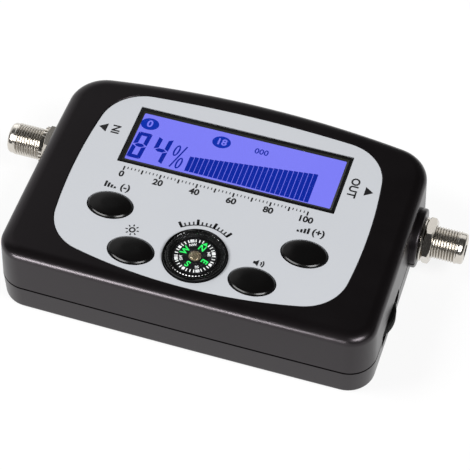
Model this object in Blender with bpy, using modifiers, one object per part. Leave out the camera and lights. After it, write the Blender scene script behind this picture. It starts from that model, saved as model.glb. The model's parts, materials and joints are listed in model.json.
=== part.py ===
"""A hand-held satellite signal meter: a two-part moulded case with a lit display, four push buttons,
a small liquid compass, an edge thumbwheel and a threaded cable connector at each end.

Metres, +Z up. The meter lies on its back on z = 0 with its long side along X, and its user stands at -Y.
The origin is the middle of the box round the whole meter, on the surface that it rests on.
"""
import math

import bmesh
import bpy
from mathutils import Matrix, Vector

# Case outline, at the parting line between the two shells
CASE_WIDTH = 0.1086
CASE_DEPTH = 0.0752
CASE_FRONT_CORNER = 0.0080
CASE_BACK_CORNER = 0.0115
CASE_SIDE_BOW = 0.0003
CASE_FRONT_BOW = 0.0003
CASE_BACK_BOW = 0.0052
CASE_HEIGHT = 0.0234
PARTING_HEIGHT_SHARE = 0.3718
PARTING_HEIGHT = CASE_HEIGHT * PARTING_HEIGHT_SHARE
PARTING_GAP = 0.0006
UPPER_DRAFT = 0.0006
LOWER_DRAFT = 0.0002
TOP_EDGE_RUN = 0.0034
TOP_EDGE_DROP = 0.0028
BOTTOM_EDGE = 0.0008
WALL = 0.0022
LIP_HEIGHT = 0.0013
LIP_THICKNESS = 0.0009
LIP_ROOT = 0.0012
LIP_CLEARANCE = 0.0002
REBATE_REACH = 0.0007

# Clearances that pieces share
SEAT_GAP = 0.0003
FILM_GAP = 0.0001
RUNNING_GAP = 0.0003
CUT_OVERRUN = 0.0010
WELD = 0.000001

# Facets of round shapes
CORNER_STEPS = 5
BOW_STEPS = 5
EDGE_STEPS = 3
SMALL_ROUND = 14
MIDDLE_ROUND = 24
LARGE_ROUND = 28
SHARP_ANGLE = math.radians(35)

# Front label
LABEL_SIDE_MARGIN = 0.0113
LABEL_FRONT_MARGIN = 0.0044
LABEL_BACK_MARGIN = 0.0068
LABEL_WIDTH = CASE_WIDTH - 2 * LABEL_SIDE_MARGIN
LABEL_FRONT = LABEL_FRONT_MARGIN - CASE_DEPTH / 2
LABEL_BACK = CASE_DEPTH / 2 - LABEL_BACK_MARGIN
LABEL_SIDE_BOW = 0.0034
LABEL_FRONT_BOW = 0.0066
LABEL_BACK_BOW = 0.0026
LABEL_CORNER = 0.0130
LABEL_THICKNESS = 0.00035
LABEL_RECESS = 0.0007
LABEL_MARGIN = 0.0002

# Display
DISPLAY_SIDE_MARGIN = 0.01135
DISPLAY_BACK_MARGIN = 0.00605
DISPLAY_DEPTH = 0.0210
DISPLAY_WIDTH = LABEL_WIDTH - 2 * DISPLAY_SIDE_MARGIN
DISPLAY_Y = LABEL_BACK - DISPLAY_BACK_MARGIN - DISPLAY_DEPTH / 2
DISPLAY_FRONT = DISPLAY_Y - DISPLAY_DEPTH / 2
FRAME_SIDE = 0.00115
FRAME_END = 0.00135
VIEW_WIDTH = DISPLAY_WIDTH - 2 * FRAME_SIDE
VIEW_DEPTH = DISPLAY_DEPTH - 2 * FRAME_END
DISPLAY_CORNER = 0.0004
BEZEL_WALL = 0.0007
BEZEL_LIP = 0.0005
BEZEL_BELOW_LABEL = 0.0001
WINDOW_THICKNESS = 0.0004
WINDOW_BELOW_BEZEL = 0.0001
GLASS_THICKNESS = 0.0020
CONTACT_STRIP_DEPTH = 0.0018
CONTACT_STRIP_MARGIN = 0.00365

# Case screws and the posts that they pull together
POST_SIDE_MARGIN = 0.0088
POST_FRONT_MARGIN = 0.0088
POST_BACK_MARGIN = 0.0121
POST_X = CASE_WIDTH / 2 - POST_SIDE_MARGIN
FRONT_POST_Y = POST_FRONT_MARGIN - CASE_DEPTH / 2
BACK_POST_Y = CASE_DEPTH / 2 - POST_BACK_MARGIN
UPPER_POST_RADIUS = 0.0030
LOWER_POST_RADIUS = 0.0038
CASE_SCREW_RADIUS = 0.0013
CASE_SCREW_LENGTH = 0.0120
CASE_SCREW_HEAD_RADIUS = 0.0025
CASE_SCREW_HEAD_HEIGHT = 0.0016
CASE_SCREW_SINK = 0.0006
SCREW_CLEARANCE = 0.0003
BOARD_SCREW_RADIUS = 0.0010
BOARD_SCREW_LENGTH = 0.0060
BOARD_SCREW_HEAD_RADIUS = 0.0020
BOARD_SCREW_HEAD_HEIGHT = 0.0012

# Circuit board
BOARD_HEIGHT_SHARE = 0.57265
BOARD_SIDE_MARGIN = 0.0058
BOARD_FRONT_MARGIN = 0.0041
BOARD_BACK_MARGIN = 0.0076
BOARD_HEIGHT = CASE_HEIGHT * BOARD_HEIGHT_SHARE
BOARD_THICKNESS = 0.0016
BOARD_HALF_WIDTH = CASE_WIDTH / 2 - BOARD_SIDE_MARGIN
BOARD_FRONT = BOARD_FRONT_MARGIN - CASE_DEPTH / 2
BOARD_BACK = CASE_DEPTH / 2 - BOARD_BACK_MARGIN
BOARD_POST_CLEARANCE = 0.0005
BOARD_NOTCH_CORNER = 0.0012
STANDOFF_RADIUS = 0.0026
STANDOFF_SIDE_MARGIN = 0.0080
STANDOFF_BACK_MARGIN = 0.0040
STANDOFF_FROM_POST = 0.0090
STANDOFF_FRONT_SHARE = 0.5118
STANDOFF_FRONT_X = BOARD_HALF_WIDTH - STANDOFF_SIDE_MARGIN
STANDOFF_FRONT_Y = BOARD_FRONT + STANDOFF_FRONT_SHARE * (BOARD_BACK - BOARD_FRONT)
STANDOFF_BACK_X = POST_X - STANDOFF_FROM_POST
STANDOFF_BACK_Y = BOARD_BACK - STANDOFF_BACK_MARGIN

# Compass
COMPASS_FRONT_MARGIN = 0.00205
COMPASS_RADIUS = 0.00885
COMPASS_Y = LABEL_FRONT + COMPASS_FRONT_MARGIN + COMPASS_RADIUS
COMPASS_PROUD = 0.0010
COMPASS_RIM = 0.00055
COMPASS_RIM_ROUND = 0.0002
COMPASS_FLANGE_RADIUS = 0.0096
COMPASS_FLANGE_THICKNESS = 0.0010
COMPASS_BORE = 0.0066
COMPASS_FLOOR = 0.0015
LENS_LEDGE = 0.0005
LENS_THICKNESS = 0.0003
LENS_BELOW_RIM = 0.0002
FUNNEL_DROP = 0.0012
CARD_RADIUS = 0.00615
CARD_THICKNESS = 0.00045
CARD_BELOW_LENS = 0.00045
CARD_BORE = 0.0015
JEWEL_RADIUS = 0.00175
JEWEL_RISE = 0.00025
JEWEL_STEM_RADIUS = 0.0012
JEWEL_STEM_LENGTH = 0.0013
JEWEL_CUP_RADIUS = 0.0008
JEWEL_CUP_DEPTH = 0.0009
PIVOT_RADIUS = 0.0004
PIVOT_TIP = 0.0006
PIVOT_FOOT_RADIUS = 0.0015
PIVOT_FOOT_HEIGHT = 0.0006
MAGNET_RADIUS = 0.0036
MAGNET_BORE = 0.0016
MAGNET_THICKNESS = 0.0012

# Buttons and the switches under them
BUTTON_HALF_WIDTH = 0.00645
BUTTON_HALF_DEPTH = 0.00450
BUTTON_PROUD = 0.00095
BUTTON_EDGE = 0.0005
BUTTON_FLANGE_REACH = 0.0008
BUTTON_FLANGE_THICKNESS = 0.0008
BUTTON_TRAVEL = 0.0005
BUTTON_FROM_COMPASS = 0.0020
BUTTON_FRONT_MARGIN = 0.00295
OUTER_BUTTON_X_SHARE = 0.32674
OUTER_BUTTON_Y_SHARE = 0.45254
INNER_BUTTON_X = COMPASS_RADIUS + BUTTON_FROM_COMPASS + BUTTON_HALF_WIDTH
INNER_BUTTON_Y = LABEL_FRONT + BUTTON_FRONT_MARGIN + BUTTON_HALF_DEPTH
OUTER_BUTTON_X = LABEL_WIDTH * OUTER_BUTTON_X_SHARE
OUTER_BUTTON_Y = INNER_BUTTON_Y + OUTER_BUTTON_Y_SHARE * (DISPLAY_FRONT - INNER_BUTTON_Y)
SWITCH_WIDTH = 0.0062
PLUNGER_RADIUS = 0.0017
PLUNGER_SHOW = 0.0014
PLUNGER_DEPTH = 0.0015

# Cable connectors, 3/8 inch with 32 threads to the inch
CONNECTOR_HEIGHT_SHARE = 0.453
CONNECTOR_REACH = 0.0143
CONNECTOR_HEIGHT = CASE_HEIGHT * CONNECTOR_HEIGHT_SHARE
CONNECTOR_TIP = CASE_WIDTH / 2 + CONNECTOR_REACH
THREAD_RADIUS = 0.0047
TIP_RADIUS = 0.0045
TIP_CHAMFER = 0.0005
TIP_LENGTH = 0.0018
BARREL_BORE = 0.0033
BARREL_BORE_DEPTH = 0.0100
FLANGE_RADIUS = 0.0063
FLANGE_THICKNESS = 0.0014
TAIL_RADIUS = 0.0020
TAIL_LENGTH = 0.0050
CORE_BORE = 0.0012
INSULATOR_RECESS = 0.0005
CONTACT_RADIUS = 0.0007
CONTACT_SOCKET = 0.0004
CONTACT_SOCKET_DEPTH = 0.0050
CONTACT_RECESS = 0.0003
CONTACT_IN_SHIELD = 0.0022
NUT_ACROSS_FLATS = 0.0118
NUT_THICKNESS = 0.0026
NUT_CHAMFER = 0.0005
NUT_TURN = math.radians(23)
WASHER_RADIUS = 0.0064
WASHER_THICKNESS = 0.0005
COLLAR_RADIUS = 0.0056
COLLAR_THICKNESS = 0.0011
COLLAR_TEETH = 24
COLLAR_TOOTH = 0.0003
BOSS_RADIUS = 0.0086
BOSS_HEIGHT = 0.0016
BOSS_EDGE = 0.0006

# Thumbwheel and its potentiometer
WHEEL_RADIUS = 0.0090
WHEEL_PROUD = 0.0012
WHEEL_FROM_POST = 0.01345
WHEEL_THICKNESS = 0.0040
WHEEL_X = CASE_WIDTH / 2 + WHEEL_PROUD - WHEEL_RADIUS
WHEEL_Y = FRONT_POST_Y + WHEEL_FROM_POST
WHEEL_TEETH = 48
WHEEL_TOOTH = 0.00035
WHEEL_SHAFT_RADIUS = 0.0015
WHEEL_SHAFT_HEAD_RADIUS = 0.0028
WHEEL_SHAFT_HEAD_HEIGHT = 0.0009
SLOT_LENGTH = 0.0175
SLOT_CLEARANCE = 0.0010
SLOT_CORNER = 0.0012
POTENTIOMETER_WIDTH = 0.0084
POTENTIOMETER_THICKNESS = 0.0027
SHAFT_ENGAGEMENT = 0.0020

# Parts soldered under the board
SHIELD_SIDE_MARGIN = 0.0090
SHIELD_FRONT_MARGIN = 0.0030
SHIELD_BACK_MARGIN = 0.0025
SHIELD_FLOOR_CLEARANCE = 0.0024
SHIELD_WIDTH = 2 * (BOARD_HALF_WIDTH - SHIELD_SIDE_MARGIN)
SHIELD_FRONT = STANDOFF_FRONT_Y + SHIELD_FRONT_MARGIN
SHIELD_BACK = STANDOFF_BACK_Y - SHIELD_BACK_MARGIN
CONTACT_FROM_SHIELD_BACK = 0.01105
CONNECTOR_Y = SHIELD_BACK - CONTACT_FROM_SHIELD_BACK
SHIELD_WALL = 0.0004
SHIELD_CORNER = 0.0010
SHIELD_CONTACT_CLEARANCE = 0.0005
BUZZER_X_SHARE = 0.4536
BUZZER_FRONT_MARGIN = 0.0130
BUZZER_X = -BOARD_HALF_WIDTH * BUZZER_X_SHARE
BUZZER_Y = BOARD_FRONT + BUZZER_FRONT_MARGIN
BUZZER_RADIUS = 0.0060
BUZZER_HEIGHT = 0.0070
BUZZER_HOLE = 0.0010
BUZZER_HOLE_DEPTH = 0.0030
CONTROLLER_X_SHARE = 0.0825
CONTROLLER_FRONT_MARGIN = 0.0175
CONTROLLER_X = BOARD_HALF_WIDTH * CONTROLLER_X_SHARE
CONTROLLER_Y = BOARD_FRONT + CONTROLLER_FRONT_MARGIN
CONTROLLER_WIDTH = 0.0120
CONTROLLER_THICKNESS = 0.0016
REGULATOR_X_SHARE = 0.5361
REGULATOR_FRONT_MARGIN = 0.0235
REGULATOR_X = BOARD_HALF_WIDTH * REGULATOR_X_SHARE
REGULATOR_Y = BOARD_FRONT + REGULATOR_FRONT_MARGIN
REGULATOR_WIDTH = 0.0066
REGULATOR_THICKNESS = 0.0023
CAPACITOR_X_SHARE = 0.4948
CAPACITOR_FRONT_MARGIN = 0.0095
CAPACITOR_X = BOARD_HALF_WIDTH * CAPACITOR_X_SHARE
CAPACITOR_Y = BOARD_FRONT + CAPACITOR_FRONT_MARGIN
CAPACITOR_RADIUS = 0.0031
CAPACITOR_HEIGHT = 0.0075
CAPACITOR_EDGE = 0.0004

# Levels that follow from the sizes above
TOP_UNDERSIDE = CASE_HEIGHT - WALL
LABEL_FLOOR = CASE_HEIGHT - LABEL_RECESS
LABEL_BOTTOM = LABEL_FLOOR + FILM_GAP
LABEL_TOP = LABEL_BOTTOM + LABEL_THICKNESS
BOARD_TOP = BOARD_HEIGHT + BOARD_THICKNESS
UNDER_BOARD = BOARD_HEIGHT - SEAT_GAP
ON_BOARD = BOARD_TOP + SEAT_GAP
BEZEL_TOP = LABEL_TOP - BEZEL_BELOW_LABEL
GLASS_TOP = BEZEL_TOP - BEZEL_LIP - FILM_GAP
COMPASS_TOP = LABEL_TOP + COMPASS_PROUD
LENS_TOP = COMPASS_TOP - LENS_BELOW_RIM
LENS_BOTTOM = LENS_TOP - LENS_THICKNESS
CARD_TOP = LENS_BOTTOM - CARD_BELOW_LENS
CARD_BOTTOM = CARD_TOP - CARD_THICKNESS
BUTTON_TOP = LABEL_TOP + BUTTON_PROUD
SHIELD_HEIGHT = UNDER_BOARD - WALL - SHIELD_FLOOR_CLEARANCE
WHEEL_TOP = UNDER_BOARD - POTENTIOMETER_THICKNESS - SEAT_GAP
WHEEL_HEIGHT = WHEEL_TOP - WHEEL_THICKNESS
INNER_WALL = CASE_WIDTH / 2 - WALL

CASE_PLAN = {"width": CASE_WIDTH, "front": -CASE_DEPTH / 2, "back": CASE_DEPTH / 2,
             "front_corner": CASE_FRONT_CORNER, "back_corner": CASE_BACK_CORNER,
             "side_bow": CASE_SIDE_BOW, "front_bow": CASE_FRONT_BOW, "back_bow": CASE_BACK_BOW}
LABEL_PLAN = {"width": LABEL_WIDTH, "front": LABEL_FRONT, "back": LABEL_BACK,
              "front_corner": LABEL_CORNER, "back_corner": LABEL_CORNER,
              "side_bow": LABEL_SIDE_BOW, "front_bow": LABEL_FRONT_BOW, "back_bow": LABEL_BACK_BOW}
BUTTONS = {"attenuation_down": (-OUTER_BUTTON_X, OUTER_BUTTON_Y), "light": (-INNER_BUTTON_X, INNER_BUTTON_Y),
           "buzzer": (INNER_BUTTON_X, INNER_BUTTON_Y), "attenuation_up": (OUTER_BUTTON_X, OUTER_BUTTON_Y)}
POSTS = {"front_left": (-POST_X, FRONT_POST_Y), "front_right": (POST_X, FRONT_POST_Y),
         "back_left": (-POST_X, BACK_POST_Y), "back_right": (POST_X, BACK_POST_Y)}
STANDOFFS = {"front_left": (-STANDOFF_FRONT_X, STANDOFF_FRONT_Y),
             "front_right": (STANDOFF_FRONT_X, STANDOFF_FRONT_Y),
             "back_left": (-STANDOFF_BACK_X, STANDOFF_BACK_Y),
             "back_right": (STANDOFF_BACK_X, STANDOFF_BACK_Y)}


# Scene and materials

def clear_scene():
    for thing in list(bpy.data.objects):
        bpy.data.objects.remove(thing, do_unlink=True)


def new_collection(name):
    collection = bpy.data.collections.new(name)
    bpy.context.scene.collection.children.link(collection)
    return collection


def material(name, colour, roughness, metallic=0.0, transmission=0.0):
    made = bpy.data.materials.new(name)
    made.use_nodes = True
    shader = made.node_tree.nodes["Principled BSDF"]
    shader.inputs["Base Color"].default_value = (*colour, 1.0)
    shader.inputs["Roughness"].default_value = roughness
    shader.inputs["Metallic"].default_value = metallic
    shader.inputs["Transmission Weight"].default_value = transmission
    return made


def place(name, mesh, finish, location=(0, 0, 0), parent=None):
    """Puts a finished mesh in the meter's collection, under its own name and with its own material."""
    mesh.name = name
    mesh.materials.clear()
    mesh.materials.append(finish)
    mesh.shade_smooth()
    mesh.set_sharp_from_angle(angle=SHARP_ANGLE)
    thing = bpy.data.objects.new(name, mesh)
    METER.objects.link(thing)
    thing.location = location
    thing.parent = parent
    return thing


def cutter(name, mesh, location=(0, 0, 0)):
    """Puts a shape that cuts or joins another in the collection of cutters."""
    thing = bpy.data.objects.new(name, mesh)
    CUTTERS.objects.link(thing)
    thing.location = location
    thing.hide_render = True
    thing.display_type = "WIRE"
    return thing


def combine(target, tool, operation):
    change = target.modifiers.new(tool.name, "BOOLEAN")
    change.operation = operation
    change.solver = "EXACT"
    change.object = tool


def cut(target, name, mesh, location=(0, 0, 0)):
    combine(target, cutter(name, mesh, location), "DIFFERENCE")


def join(target, name, mesh, location=(0, 0, 0)):
    combine(target, cutter(name, mesh, location), "UNION")


# Outlines in a plane

def arc(centre, radius, start, end, steps):
    """Points along an arc, both ends included."""
    turns = (start + (end - start) * step / steps for step in range(steps + 1))
    return [(centre[0] + radius * math.cos(turn), centre[1] + radius * math.sin(turn)) for turn in turns]


def ellipse(half_width, half_depth, steps, centre=(0, 0)):
    x, y = centre
    turns = (math.tau * step / steps for step in range(steps))
    return [(x + half_width * math.cos(turn), y + half_depth * math.sin(turn)) for turn in turns]


def rounded_box(width, depth, corner, centre=(0, 0), steps=2):
    points = []
    for quarter in range(4):
        turn = quarter * math.pi / 2
        side_x = 1 if quarter in (0, 3) else -1
        side_y = 1 if quarter in (0, 1) else -1
        middle = (centre[0] + side_x * (width / 2 - corner), centre[1] + side_y * (depth / 2 - corner))
        points += arc(middle, corner, turn, turn + math.pi / 2, steps)
    return points


def toothed(radius, tooth, teeth):
    """A ring of teeth: two points out at the crest and two in at the root."""
    points = []
    for index in range(teeth * 4):
        reach = radius if index % 4 in (0, 1) else radius - tooth
        turn = math.tau * index / (teeth * 4)
        points.append((reach * math.cos(turn), reach * math.sin(turn)))
    return points


def circles_meet(first, first_radius, second, second_radius, near):
    """Where two circles cross, at the crossing that lies closer to near."""
    first = Vector(first)
    across = Vector(second) - first
    along = (first_radius ** 2 - second_radius ** 2 + across.length_squared) / (2 * across.length)
    side = math.sqrt(first_radius ** 2 - along ** 2)
    foot = first + across.normalized() * along
    square = Vector((-across.y, across.x)).normalized() * side
    return min((foot + square, foot - square), key=lambda point: (point - Vector(near)).length)


def bow_radius(half_chord, bow):
    return (half_chord ** 2 + bow ** 2) / (2 * bow)


def wall_face(y, z, depth=0.0):
    """How far out along X the side wall's face stands at a point, or the face at a depth inside it."""
    bow = y ** 2 / (2 * bow_radius(CASE_DEPTH / 2, CASE_SIDE_BOW))
    if z > PARTING_HEIGHT:
        draft = UPPER_DRAFT * (z - PARTING_HEIGHT) / (CASE_HEIGHT - TOP_EDGE_DROP - PARTING_HEIGHT)
    else:
        draft = LOWER_DRAFT * (PARTING_HEIGHT - z) / (PARTING_HEIGHT - BOTTOM_EDGE)
    return CASE_WIDTH / 2 - bow - draft - depth


def bowed_outline(plan, inset=0.0):
    """A rounded rectangle whose four sides bow outward, each a flat arc. inset moves it evenly inward."""
    half = plan["width"] / 2
    middle = (plan["front"] + plan["back"]) / 2
    side_radius = bow_radius((plan["back"] - plan["front"]) / 2, plan["side_bow"])
    front_radius = bow_radius(half, plan["front_bow"])
    back_radius = bow_radius(half, plan["back_bow"])
    near = plan["front_corner"]
    far = plan["back_corner"]
    side = (half - side_radius, middle)
    front = (0, plan["front"] + front_radius)
    back = (0, plan["back"] - back_radius)
    front_corner = circles_meet(front, front_radius - near, side, side_radius - near, (half, plan["front"]))
    back_corner = circles_meet(back, back_radius - far, side, side_radius - far, (half, plan["back"]))
    stretches = ((front, front_radius, front_corner, BOW_STEPS), (front_corner, near, side, CORNER_STEPS),
                 (side, side_radius, back_corner, BOW_STEPS), (back_corner, far, back, CORNER_STEPS),
                 (back, back_radius, None, BOW_STEPS))
    points = []
    start = -math.pi / 2
    for centre, radius, following, steps in stretches:
        if following is None:
            end = math.pi / 2
        else:
            toward = Vector(following) - Vector(centre)
            if radius in (near, far):
                toward.negate()
            end = math.atan2(toward.y, toward.x)
        points += arc(centre, radius - inset, start, end, steps)[1:]
        start = end
    right = [(0, plan["front"] + inset)] + points
    left = [(-x, y) for x, y in reversed(right[1:-1])]
    return right + left


# Solids

def tidy(shape):
    """Closes the seams of a shape, turns its faces outward and makes it a mesh."""
    bmesh.ops.remove_doubles(shape, verts=shape.verts, dist=WELD)
    bmesh.ops.recalc_face_normals(shape, faces=shape.faces)
    mesh = bpy.data.meshes.new("shape")
    shape.to_mesh(mesh)
    shape.free()
    return mesh


def plate(outlines, thickness):
    """A flat plate from its outline and any holes, its underside on z = 0."""
    curve = bpy.data.curves.new("outline", "CURVE")
    curve.dimensions = "2D"
    curve.fill_mode = "BOTH"
    curve.extrude = thickness / 2
    for outline in outlines:
        spline = curve.splines.new("POLY")
        spline.points.add(len(outline) - 1)
        spline.use_cyclic_u = True
        for point, (x, y) in zip(spline.points, outline):
            point.co = (x, y, 0, 1)
    drawn = bpy.data.objects.new("outline", curve)
    bpy.context.scene.collection.objects.link(drawn)
    seen = drawn.evaluated_get(bpy.context.evaluated_depsgraph_get())
    flat = bpy.data.meshes.new_from_object(seen)
    bpy.data.objects.remove(drawn)
    shape = bmesh.new()
    shape.from_mesh(flat)
    bmesh.ops.translate(shape, verts=shape.verts, vec=(0, 0, thickness / 2))
    return tidy(shape)


def box(width, depth, height):
    """A box standing on z = 0."""
    shape = bmesh.new()
    bmesh.ops.create_cube(shape, size=1)
    bmesh.ops.scale(shape, verts=shape.verts, vec=(width, depth, height))
    bmesh.ops.translate(shape, verts=shape.verts, vec=(0, 0, height / 2))
    return tidy(shape)


def turned(profile, steps):
    """A solid turned about Z from a profile of (radius, height) that runs down its outer side."""
    mesh = bpy.data.meshes.new("profile")
    points = [(radius, 0, height) for radius, height in profile]
    mesh.from_pydata(points, [(index, index + 1) for index in range(len(points) - 1)], [])
    drawn = bpy.data.objects.new("profile", mesh)
    bpy.context.scene.collection.objects.link(drawn)
    screw = drawn.modifiers.new("turn", "SCREW")
    screw.steps = steps
    screw.render_steps = steps
    screw.use_merge_vertices = True
    screw.merge_threshold = WELD
    seen = drawn.evaluated_get(bpy.context.evaluated_depsgraph_get())
    spun = bpy.data.meshes.new_from_object(seen)
    bpy.data.objects.remove(drawn)
    shape = bmesh.new()
    shape.from_mesh(spun)
    return tidy(shape)


def rod(radius, height, steps=SMALL_ROUND):
    """A plain cylinder standing on z = 0."""
    shape = bmesh.new()
    bmesh.ops.create_cone(shape, cap_ends=True, segments=steps, radius1=radius, radius2=radius, depth=height)
    bmesh.ops.translate(shape, verts=shape.verts, vec=(0, 0, height / 2))
    return tidy(shape)


def along_x(mesh, side):
    """Lays a solid that stands on Z along X, pointing to the right (side 1) or to the left (side -1)."""
    mesh.transform(Matrix.Rotation(side * math.pi / 2, 4, "Y"))
    return mesh


def loft(rings, closed=True):
    """A skin through like outlines, each at its own height: closed at both ends, or open at the first."""
    shape = bmesh.new()
    drawn = []
    for outline, height in rings:
        drawn.append([shape.verts.new((x, y, height)) for x, y in outline])
    for below, above in zip(drawn, drawn[1:]):
        for index in range(len(below)):
            following = (index + 1) % len(below)
            shape.faces.new((below[index], below[following], above[following], above[index]))
    shape.faces.new(drawn[-1])
    if closed:
        shape.faces.new(reversed(drawn[0]))
    return tidy(shape)


def shelled(thing):
    """Gives an open skin the case's wall, on its inner side."""
    wall = thing.modifiers.new("wall", "SOLIDIFY")
    wall.thickness = WALL
    wall.offset = -1
    wall.use_even_offset = True


# The two case shells

def display_opening():
    """The hole for the display, in the upper shell and in the label."""
    width = DISPLAY_WIDTH + 2 * SEAT_GAP
    depth = DISPLAY_DEPTH + 2 * SEAT_GAP
    return rounded_box(width, depth, DISPLAY_CORNER, (0, DISPLAY_Y))


def upper_skin():
    """Up the drafted wall, round the top edge and in to the flat top."""
    rings = [(bowed_outline(CASE_PLAN), PARTING_HEIGHT - CUT_OVERRUN)]
    for step in range(EDGE_STEPS + 1):
        turn = math.pi / 2 * step / EDGE_STEPS
        inset = UPPER_DRAFT + TOP_EDGE_RUN * (1 - math.cos(turn))
        rings.append((bowed_outline(CASE_PLAN, inset), CASE_HEIGHT - TOP_EDGE_DROP * (1 - math.sin(turn))))
    return loft(rings, closed=False)


def lower_skin():
    """Down the drafted wall, round the bottom edge and in to the flat floor."""
    rings = [(bowed_outline(CASE_PLAN), PARTING_HEIGHT + CUT_OVERRUN)]
    for step in range(EDGE_STEPS + 1):
        turn = math.pi / 2 * step / EDGE_STEPS
        inset = LOWER_DRAFT + BOTTOM_EDGE * (1 - math.cos(turn))
        rings.append((bowed_outline(CASE_PLAN, inset), BOTTOM_EDGE * (1 - math.sin(turn))))
    return loft(rings, closed=False)


def connector_boss():
    """The round raised seat under the right connector's washer, reaching a little into the wall."""
    root = WALL / 2
    profile = [(0, root + BOSS_HEIGHT), (BOSS_RADIUS - BOSS_EDGE, root + BOSS_HEIGHT),
               (BOSS_RADIUS, root + BOSS_HEIGHT - BOSS_EDGE), (BOSS_RADIUS, 0), (0, 0)]
    return along_x(turned(profile, LARGE_ROUND), 1)


def add_boss(shell):
    seat = (CASE_WIDTH / 2 - WALL / 2, CONNECTOR_Y, CONNECTOR_HEIGHT)
    join(shell, shell.name + " boss", connector_boss(), seat)


def cut_side_openings(shell):
    """Each shell's half of the two connector holes and of the thumbwheel's slot."""
    for side in (-1, 1):
        length = WALL + BOSS_HEIGHT + 2 * CUT_OVERRUN
        hole = along_x(rod(THREAD_RADIUS + SEAT_GAP, length, MIDDLE_ROUND), side)
        start = (side * (INNER_WALL - CUT_OVERRUN), CONNECTOR_Y, CONNECTOR_HEIGHT)
        cut(shell, shell.name + " connector hole " + str(side), hole, start)
    height = WHEEL_THICKNESS + 2 * SLOT_CLEARANCE
    slot = plate([rounded_box(height, SLOT_LENGTH, SLOT_CORNER)], WALL + 2 * CUT_OVERRUN)
    start = (INNER_WALL - CUT_OVERRUN, WHEEL_Y, WHEEL_HEIGHT + WHEEL_THICKNESS / 2)
    cut(shell, shell.name + " wheel slot", along_x(slot, 1), start)


def make_upper_case(finish):
    case = place("upper_case", upper_skin(), finish)
    shelled(case)
    post_start = PARTING_HEIGHT - CUT_OVERRUN
    for name, (x, y) in POSTS.items():
        post = rod(UPPER_POST_RADIUS, TOP_UNDERSIDE + WALL / 2 - post_start)
        join(case, "upper post " + name, post, (x, y, post_start))
    for name, (x, y) in STANDOFFS.items():
        standoff = rod(STANDOFF_RADIUS, TOP_UNDERSIDE + WALL / 2 - ON_BOARD)
        join(case, "standoff " + name, standoff, (x, y, ON_BOARD))
    add_boss(case)
    below = box(CASE_WIDTH + 2 * CASE_DEPTH, 2 * CASE_DEPTH, CASE_HEIGHT)
    cut(case, "below the parting line", below, (0, 0, PARTING_HEIGHT + PARTING_GAP / 2 - CASE_HEIGHT))
    rebate_height = LIP_HEIGHT + SEAT_GAP
    rebate = plate([bowed_outline(CASE_PLAN, WALL - LIP_THICKNESS - LIP_CLEARANCE),
                    bowed_outline(CASE_PLAN, WALL + REBATE_REACH)], rebate_height + CUT_OVERRUN)
    cut(case, "lip rebate", rebate, (0, 0, PARTING_HEIGHT + PARTING_GAP / 2 - CUT_OVERRUN))
    cut_side_openings(case)
    cut(case, "label recess", plate([bowed_outline(LABEL_PLAN, -LABEL_MARGIN)], LABEL_RECESS + CUT_OVERRUN),
        (0, 0, LABEL_FLOOR))
    through = WALL + 2 * CUT_OVERRUN
    start = TOP_UNDERSIDE - CUT_OVERRUN
    cut(case, "display opening", plate([display_opening()], through), (0, 0, start))
    cut(case, "compass hole", rod(COMPASS_RADIUS + SEAT_GAP, through, LARGE_ROUND), (0, COMPASS_Y, start))
    for name, (x, y) in BUTTONS.items():
        hole = plate([oval(-RUNNING_GAP)], through)
        cut(case, name + " hole", hole, (x, y, start))
    screw_reach = CASE_SCREW_SINK + CASE_SCREW_HEAD_HEIGHT + CASE_SCREW_LENGTH + SEAT_GAP
    for name, (x, y) in POSTS.items():
        bore = rod(CASE_SCREW_RADIUS + SCREW_CLEARANCE, screw_reach)
        cut(case, "upper bore " + name, bore, (x, y, 0))
    for name, (x, y) in STANDOFFS.items():
        bore = rod(BOARD_SCREW_RADIUS + SCREW_CLEARANCE, BOARD_SCREW_LENGTH + SEAT_GAP, SMALL_ROUND)
        cut(case, "standoff bore " + name, bore, (x, y, BOARD_HEIGHT - SEAT_GAP))
    return case


def make_lower_case(finish):
    case = place("lower_case", lower_skin(), finish)
    shelled(case)
    for name, (x, y) in POSTS.items():
        post = rod(LOWER_POST_RADIUS, PARTING_HEIGHT + CUT_OVERRUN - WALL / 2)
        join(case, "lower post " + name, post, (x, y, WALL / 2))
    add_boss(case)
    above = box(CASE_WIDTH + 2 * CASE_DEPTH, 2 * CASE_DEPTH, CASE_HEIGHT)
    cut(case, "above the parting line", above, (0, 0, PARTING_HEIGHT - PARTING_GAP / 2))
    lip = plate([bowed_outline(CASE_PLAN, WALL - LIP_THICKNESS), bowed_outline(CASE_PLAN, WALL - WELD)],
                LIP_ROOT + LIP_HEIGHT)
    join(case, "lip", lip, (0, 0, PARTING_HEIGHT - PARTING_GAP / 2 - LIP_ROOT))
    cut_side_openings(case)
    sink = CASE_SCREW_SINK + CASE_SCREW_HEAD_HEIGHT + SEAT_GAP
    for name, (x, y) in POSTS.items():
        head = rod(CASE_SCREW_HEAD_RADIUS + SEAT_GAP, sink + CUT_OVERRUN)
        cut(case, "counterbore " + name, head, (x, y, -CUT_OVERRUN))
        bore = rod(CASE_SCREW_RADIUS + SCREW_CLEARANCE, PARTING_HEIGHT + CUT_OVERRUN)
        cut(case, "lower bore " + name, bore, (x, y, 0))
    return case


def screw_mesh(radius, length, head_radius, head_height):
    """A pan-head screw standing on its head, its flat tip up."""
    crown = head_height / 3
    tip = radius / 2
    end = head_height + length
    return turned([(0, end), (tip, end), (radius, end - tip), (radius, head_height),
                   (head_radius, head_height), (head_radius, crown), (head_radius - crown, 0),
                   (0, 0)], SMALL_ROUND)


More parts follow.
